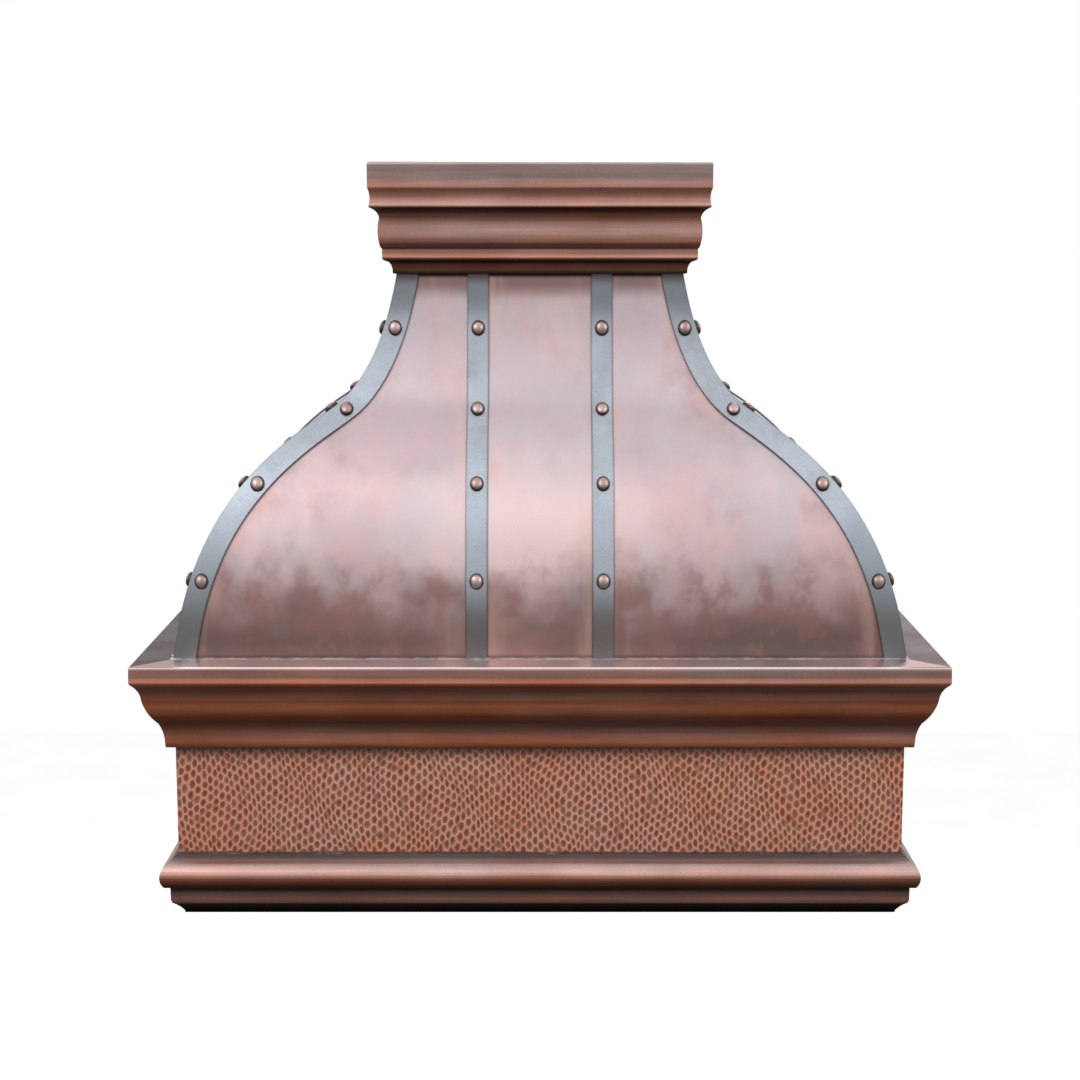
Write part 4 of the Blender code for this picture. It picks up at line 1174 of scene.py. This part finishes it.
def make_filter(name, side):
    """A baffle filter: folded frame, two staggered rows of folded baffles and its handle's ears."""
    shift = side * FILTER_PITCH
    low, high = FILTER_Z
    t = FRAME_SHEET
    section = (
        (0.0, low + 0.001), (0.0003, low + 0.0003), (0.001, low), (0.0115, low), (0.0121, low + 0.0004),
        (0.0121, low + t), (0.0014, low + t), (t, low + 0.0014), (t, high - 0.0014), (0.0014, high - t),
        (0.01, high - t), (0.01, high), (0.001, high), (0.0003, high - 0.0003), (0.0, high - 0.001),
    )
    loops = []
    for inset, z in section:
        half_x, half_y = FILTER_HALF[0] - inset, FILTER_HALF[1] - inset
        loop = rounded_rectangle(half_x, half_y, max(0.003 - inset, 0.0006), at(z), 3)
        loops.append([(x + shift, y + FILTER_MIDDLE_Y, height) for x, y, height in loop])
    shapes = [loft(loops, closed=True)]
    ends = (FILTER_MIDDLE_Y - BAFFLE_END, FILTER_MIDDLE_Y + BAFFLE_END)
    rows = ((BAFFLES - 1, LOWER_BAFFLE, 1, low + BAFFLE_GAP), (BAFFLES, UPPER_BAFFLE, -1, high - BAFFLE_GAP))
    for count, size, flip, z in rows:
        for i in range(count):
            x = shift + (i - (count - 1) / 2) * BAFFLE_PITCH
            shapes.append(extruded(channel(*size, flip), *ends, lambda a, b, y: (x + a, y, at(z) + b)))
    ear = quarter(HANDLE_PIVOT, EAR_RADIUS, 0)[::-1]
    for start in (270, 180):
        ear += quarter(HANDLE_PIVOT, EAR_RADIUS, start)[::-1][1:]
    ear.append((HANDLE_PIVOT[0] - EAR_RADIUS, low + 0.0005))
    for side_x in (-1, 1):
        inner, outer = (shift + side_x * x for x in EAR_X)
        shapes.append(extruded(ear, inner, outer, lambda a, b, x: (x, a, at(b))))
    piece("baffle_" + name, joined(shapes), "brushed_steel", ["baffle_filter_" + name], "baffle_filter_" + name)


def make_handle(name, side):
    """A bent wire bail, its ends turned out into the ears."""
    half, corner, bend, end = HANDLE_HALF, HANDLE_CORNER, HANDLE_BEND, EAR_X[1] - 0.001
    points = [(-end, 0.0), (-half - bend, 0.0)]
    points += quarter((-half - bend, -bend), bend, 0)[::-1]
    points += quarter((-half + corner, -HANDLE_REACH + corner), corner, 180, 8)
    points += quarter((half - corner, -HANDLE_REACH + corner), corner, 270, 8)
    points += quarter((half + bend, -bend), bend, 90)[::-1]
    points += [(half + bend, 0.0), (end, 0.0)]
    path = [Vector(points[0])]
    path += [Vector(b) for a, b in zip(points, points[1:]) if Vector(a) != Vector(b)]
    x, y, z = side * FILTER_PITCH, HANDLE_PIVOT[0], at(HANDLE_PIVOT[1])
    loops = []
    for i, point in enumerate(path):
        run = direction(path, i)
        loop = []
        for k in range(WIRE_SIDES):
            angle = 2 * math.pi * k / WIRE_SIDES
            out, up = HANDLE_WIRE * math.cos(angle), HANDLE_WIRE * math.sin(angle)
            loop.append((x + point.x - run.y * out, y + point.y + run.x * out, z + up))
        loops.append(loop)
    piece("handle_" + name, loft(loops), "brushed_steel", ["filter_handle_" + name], "filter_handle_" + name)


def fluted(radius, angle):
    """A knob's radius, scalloped by flutes that run out at its rim and skirt."""
    depth = 0.0008 if 0.0145 < radius < 0.01549 else 0.0
    return radius - depth * (0.5 + 0.5 * math.cos(FLUTES * angle)) ** 2


def make_knob(name, x):
    """A fluted knob with a skirt, a dished face and a raised pointer line."""
    place = Matrix.Translation((x, CONTROL_Y, at(0.0)))
    skirt = (
        (0.004, 0.0262), (0.0168, 0.0262), (0.017, 0.0258), (0.017, 0.0236), (0.0166, 0.023),
        (0.0158, 0.0226), (0.004, 0.0226),
    )
    grip = (
        (0.0, 0.0228), (0.0154, 0.0228), (0.0155, 0.022), (0.015, 0.0088), (0.0146, 0.0074),
        (0.0138, 0.0066), (0.0124, 0.0062), (0.0114, 0.0063), (0.0108, 0.0069), (0.0, 0.0073),
    )
    shapes = [turned(skirt, KNOB_SIDES, place), turned(grip, FLUTES * 8, place, reach=fluted)]
    piece(name + "_moulding", joined(shapes), "black_plastic", [name], name)
    line = rounded_rectangle(0.0006, 0.0052, 0.0005, 0, 3)
    loops = []
    for shrink, z in ((1.0, 0.0072), (1.0, 0.0061), (0.8, 0.0058)):
        loops.append([(x + a * shrink, CONTROL_Y + 0.0058 + b * shrink, at(z)) for a, b, _ in line])
    piece(name + "_pointer", loft(loops), "white_mark", body=name)


def make_control_panel():
    """The fascia plate with its softened rim, and a dotted dial round each knob."""
    low, high = PAN_Z - 0.0033, PAN_Z - 0.0003
    loops = []
    for inset, z in ((0.0, high), (0.0, low + 0.0012), (0.0004, low + 0.0004), (0.0012, low)):
        half = (PANEL_HALF[0] - inset, PANEL_HALF[1] - inset)
        loops.append([(x, y + CONTROL_Y, h) for x, y, h in rounded_rectangle(*half, 0.006 - inset, at(z))])
    piece("control_plate", loft(loops), "brushed_steel", ["control_panel"])
    shapes = []
    for x in KNOBS.values():
        for i in range(DIAL_DOTS):
            angle = math.radians(DIAL_ANGLES[0] + DIAL_ANGLES[1] * i)
            radius = DIAL_SIZES[0] + DIAL_SIZES[1] * i
            spot = (x + DIAL_RADIUS * math.cos(angle), CONTROL_Y + DIAL_RADIUS * math.sin(angle), at(low))
            profile = ((0, -0.0003), (radius * 0.7, -0.0003), (radius, -0.0001), (radius, 0.0003), (0, 0.0003))
            shapes.append(turned(profile, DOT_SIDES, Matrix.Translation(spot)))
    piece("control_dots", joined(shapes), "black_plastic")


def make_lamp(name, place):
    """A recessed lamp: trim ring, cup with its reflector, and a lens pressed with rings."""
    place = Matrix.Translation((*place, at(PAN_Z)))
    housing = (
        (0, 0.042), (0.029, 0.042), (0.0306, 0.0414), (0.031, 0.04), (0.031, -0.0003),
        (0.0374, -0.0003), (0.038, -0.0008), (0.0379, -0.0019), (0.0368, -0.0028), (0.035, -0.003),
        (0.0306, -0.0029), (0.0294, -0.0025), (0.0287, -0.0016), (0.0285, 0.002), (0.0262, 0.011),
        (0.0215, 0.02), (0.015, 0.027), (0.0085, 0.03), (0, 0.03),
    )
    piece("lamp_cup_" + name, turned(housing, LAMP_SIDES, place), "brushed_steel", ["lamp_housing_" + name])
    lens = [(0, 0.0), (0.0278, 0.0), (0.0282, -0.0004), (0.0282, -0.0016), (0.0276, -0.0021)]
    for i in range(8):
        outer = 0.0268 - 0.003 * i
        lens += [(outer, -0.0022), (outer - 0.0009, -0.0016), (outer - 0.0015, -0.0014), (outer - 0.0021, -0.0016)]
    lens += [(0.003, -0.0021), (0, -0.0023)]
    piece("lamp_glass_" + name, turned(lens, LAMP_SIDES, place), "lamp_glass", ["lamp_lens_" + name])


for filter_name, filter_side in FILTERS.items():
    make_filter(filter_name, filter_side)
    make_handle(filter_name, filter_side)
for knob_name, knob_x in KNOBS.items():
    make_knob(knob_name, knob_x)
make_control_panel()
for lamp_name, lamp_place in LAMPS.items():
    make_lamp(lamp_name, lamp_place)


# ---------------- duct and damper

DUCT_SIDES = 96
DUCT_RADIUS = 0.1
DUCT_SHEET = 0.0015
DUCT_BEADS = (0.625, 0.825, 1.025)
DUCT_BEAD = (0.0045, 0.001)
DUCT_BEAD_STEPS = 8
PIN_SIDES = 32
DAMPER_Z = 0.56
FLAP_RADIUS = 0.095
FLAP_SHEET = 0.001
FLAP_STEPS = 40
# Its hinge tongues: where each begins along the pin, their length and their corners' chamfer
TONGUES = (0.055, -0.045)
TONGUE = 0.01
TONGUE_CHAMFER = 0.0005


def make_duct():
    """The round duct with its swaged beads and ceiling flange, and the damper's collar and pin."""
    outer, inner = DUCT_RADIUS, DUCT_RADIUS - DUCT_SHEET
    profile = [(inner, 0.6003), (outer, 0.6003)]
    for middle in DUCT_BEADS:
        for i in range(DUCT_BEAD_STEPS + 1):
            turn = math.pi * i / DUCT_BEAD_STEPS
            profile.append((outer - DUCT_BEAD[1] * math.sin(turn) ** 2, middle - DUCT_BEAD[0] * math.cos(turn)))
    profile += [(outer, 1.0465), (0.1006, 1.048), (0.102, 1.0485), (0.1154, 1.0485), (0.116, 1.0488)]
    profile += [(0.116, 1.0497), (0.1154, 1.05), (0.1005, 1.05), (0.0991, 1.0494), (inner, 1.048)]
    place = Matrix.Translation((0, 0, at(0.0)))
    piece("duct_sheet", turned(profile, DUCT_SIDES, place), "galvanised", ["exhaust_duct"])
    collar = (
        (outer, 0.5203), (outer, 0.542), (0.0994, 0.544), (0.0994, 0.547), (outer, 0.549), (outer, 0.6),
        (inner, 0.6), (inner, 0.5572), (0.0928, 0.5572), (0.0925, 0.5569), (0.0925, 0.5563),
        (0.0928, 0.556), (inner, 0.556), (inner, 0.5203),
    )
    piece("collar_sheet", turned(collar, DUCT_SIDES, place), "galvanised", ["damper_collar"])
    pin = ((0, -0.0982), (0.002, -0.0982), (0.0025, -0.0977), (0.0025, 0.0977), (0.002, 0.0982), (0, 0.0982))
    lying = Matrix.Translation((0, 0, at(DAMPER_Z))) @ Matrix.Rotation(math.radians(90), 4, "X")
    piece("hinge_pin", turned(pin, PIN_SIDES, lying), "brushed_steel", ["damper_pin"])


def make_flap(name, side):
    """Half a disc with its hinge tongues."""
    edge, tip = 0.006, 0.003
    limit = math.acos(edge / FLAP_RADIUS)
    angles = [-limit + 2 * limit * i / FLAP_STEPS for i in range(FLAP_STEPS + 1)]
    outline = [(FLAP_RADIUS * math.cos(angle), FLAP_RADIUS * math.sin(angle)) for angle in angles]
    for y in TONGUES:
        end, blunt = y - TONGUE, tip + TONGUE_CHAMFER
        outline += [(edge, y), (blunt, y), (tip, y - TONGUE_CHAMFER)]
        outline += [(tip, end + TONGUE_CHAMFER), (blunt, end), (edge, end)]
    z, half = at(DAMPER_Z), FLAP_SHEET / 2
    shape = extruded(outline, z - half, z + half, lambda a, b, height: (side * a, side * b, height))
    piece("flap_" + name, shape, "galvanised", ["damper_flap_" + name], "damper_flap_" + name)


make_duct()
make_flap("left", -1)
make_flap("right", 1)


# ---------------- carried-over nodes

NODE_FINISHES = {
    "frame_steel": ("ceiling_frame", "canopy_frame", "hanger_post_", "cross_rail_", "motor"),
    "brushed_steel": ("liner_pan", "filter_bay_"),
    "galvanised": ("blower_", "impeller", "duct_transition", "junction_"),
    "black_plastic": ("fan_switch", "light_dimmer", "light_driver"),
}
for finish, starts in NODE_FINISHES.items():
    for name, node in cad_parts.items():
        if name.startswith(starts):
            for slot in node.material_slots:
                slot.material = FINISHES[finish]


# ---------------- stage

FLOOR_Z = -2.7
FLOOR_SIZE = 7.0
# The studio's light from straight down to straight up
SKY = (
    (-1.0, 0.26), (-0.45, 0.22), (-0.2, 0.36), (0.0, 0.52), (0.22, 0.8), (0.5, 1.12), (0.75, 1.12),
    (1.0, 1.08),
)
SKY_WARMTH = 0.12
# Area lights: place, aim, size and power
LIGHTS = {
    "key": ((-2.4, -2.8, 1.6), (0, 0, -0.5), 1.6, 44),
    "fill": ((2.8, -2.2, 1.0), (0, 0, -0.6), 2.2, 30),
    "back": ((0.5, 3.0, 1.8), (0, 0, -0.5), 2.0, 40),
}
CAMERA_PLACE = (0, -3.0296, -0.0791)
CAMERA_TILT = 80.882
LENS = 66.67


def make_floor():
    p = Paint("floor", 0.0, Specular_IOR_Level=0.2)
    grain = p.noise(3, 3, 0.5)
    p.base = p.mix(p.smooth(grain, 0.3, 0.7), (0.9, 0.9, 0.895), (0.93, 0.93, 0.925))
    shape = bmesh.new()
    bmesh.ops.create_grid(shape, x_segments=8, y_segments=8, size=FLOOR_SIZE)
    floor = added("floor", mesh_of("floor", shape))
    floor.data.materials.append(p.finish(p.swing(grain, 0.7, 0.8)))
    floor.location = (0, 0, FLOOR_Z)
    floor.visible_glossy = False


def make_world():
    """Light that grows with height; the camera itself sees plain white."""
    world = bpy.data.worlds.new("studio")
    bpy.context.scene.world = world
    world.use_nodes = True
    nodes, link = world.node_tree.nodes, world.node_tree.links.new
    kinds = ("SeparateXYZ", "MapRange", "ValToRGB", "Mix")
    split, lift, ramp, pick = (nodes.new("ShaderNode" + kind) for kind in kinds)
    link(nodes.new("ShaderNodeTexCoord").outputs["Generated"], split.inputs["Vector"])
    link(split.outputs["Z"], lift.inputs["Value"])
    lift.inputs["From Min"].default_value = -1.0
    link(lift.outputs["Result"], ramp.inputs["Fac"])
    brightest = max(level for _, level in SKY)
    stops = ramp.color_ramp.elements
    while len(stops) < len(SKY):
        stops.new(0.5)
    for stop, (z, level) in zip(stops, SKY):
        stop.position = (z + 1) / 2
        warm = 1.0 if z >= 0 else 1.0 + SKY_WARMTH * z
        stop.color = (level / brightest, level * (1 + warm) / 2 / brightest, level * warm / brightest, 1)
    pick.data_type = "RGBA"
    link(nodes.new("ShaderNodeLightPath").outputs["Is Camera Ray"], pick.inputs[0])
    link(ramp.outputs["Color"], pick.inputs[6])
    pick.inputs[7].default_value = (1 / brightest, 1 / brightest, 1 / brightest, 1)
    out = nodes["Background"]
    link(pick.outputs[2], out.inputs["Color"])
    out.inputs["Strength"].default_value = brightest


make_floor()
make_world()
for light_name, (place, aim, size, power) in LIGHTS.items():
    light_data = bpy.data.lights.new(light_name, "AREA")
    light_data.shape = "DISK"
    light_data.size = size
    light_data.energy = power
    light = added(light_name, light_data)
    light.location = place
    light.rotation_euler = (Vector(aim) - Vector(place)).to_track_quat("-Z", "Y").to_euler()
bpy.context.scene.view_settings.view_transform = "Standard"

camera = added("camera", bpy.data.cameras.new("camera"))
camera.data.lens = LENS
camera.data.sensor_width = 36.0
camera.location = CAMERA_PLACE
camera.rotation_euler = (math.radians(CAMERA_TILT), 0, 0)
bpy.context.scene.camera = camera
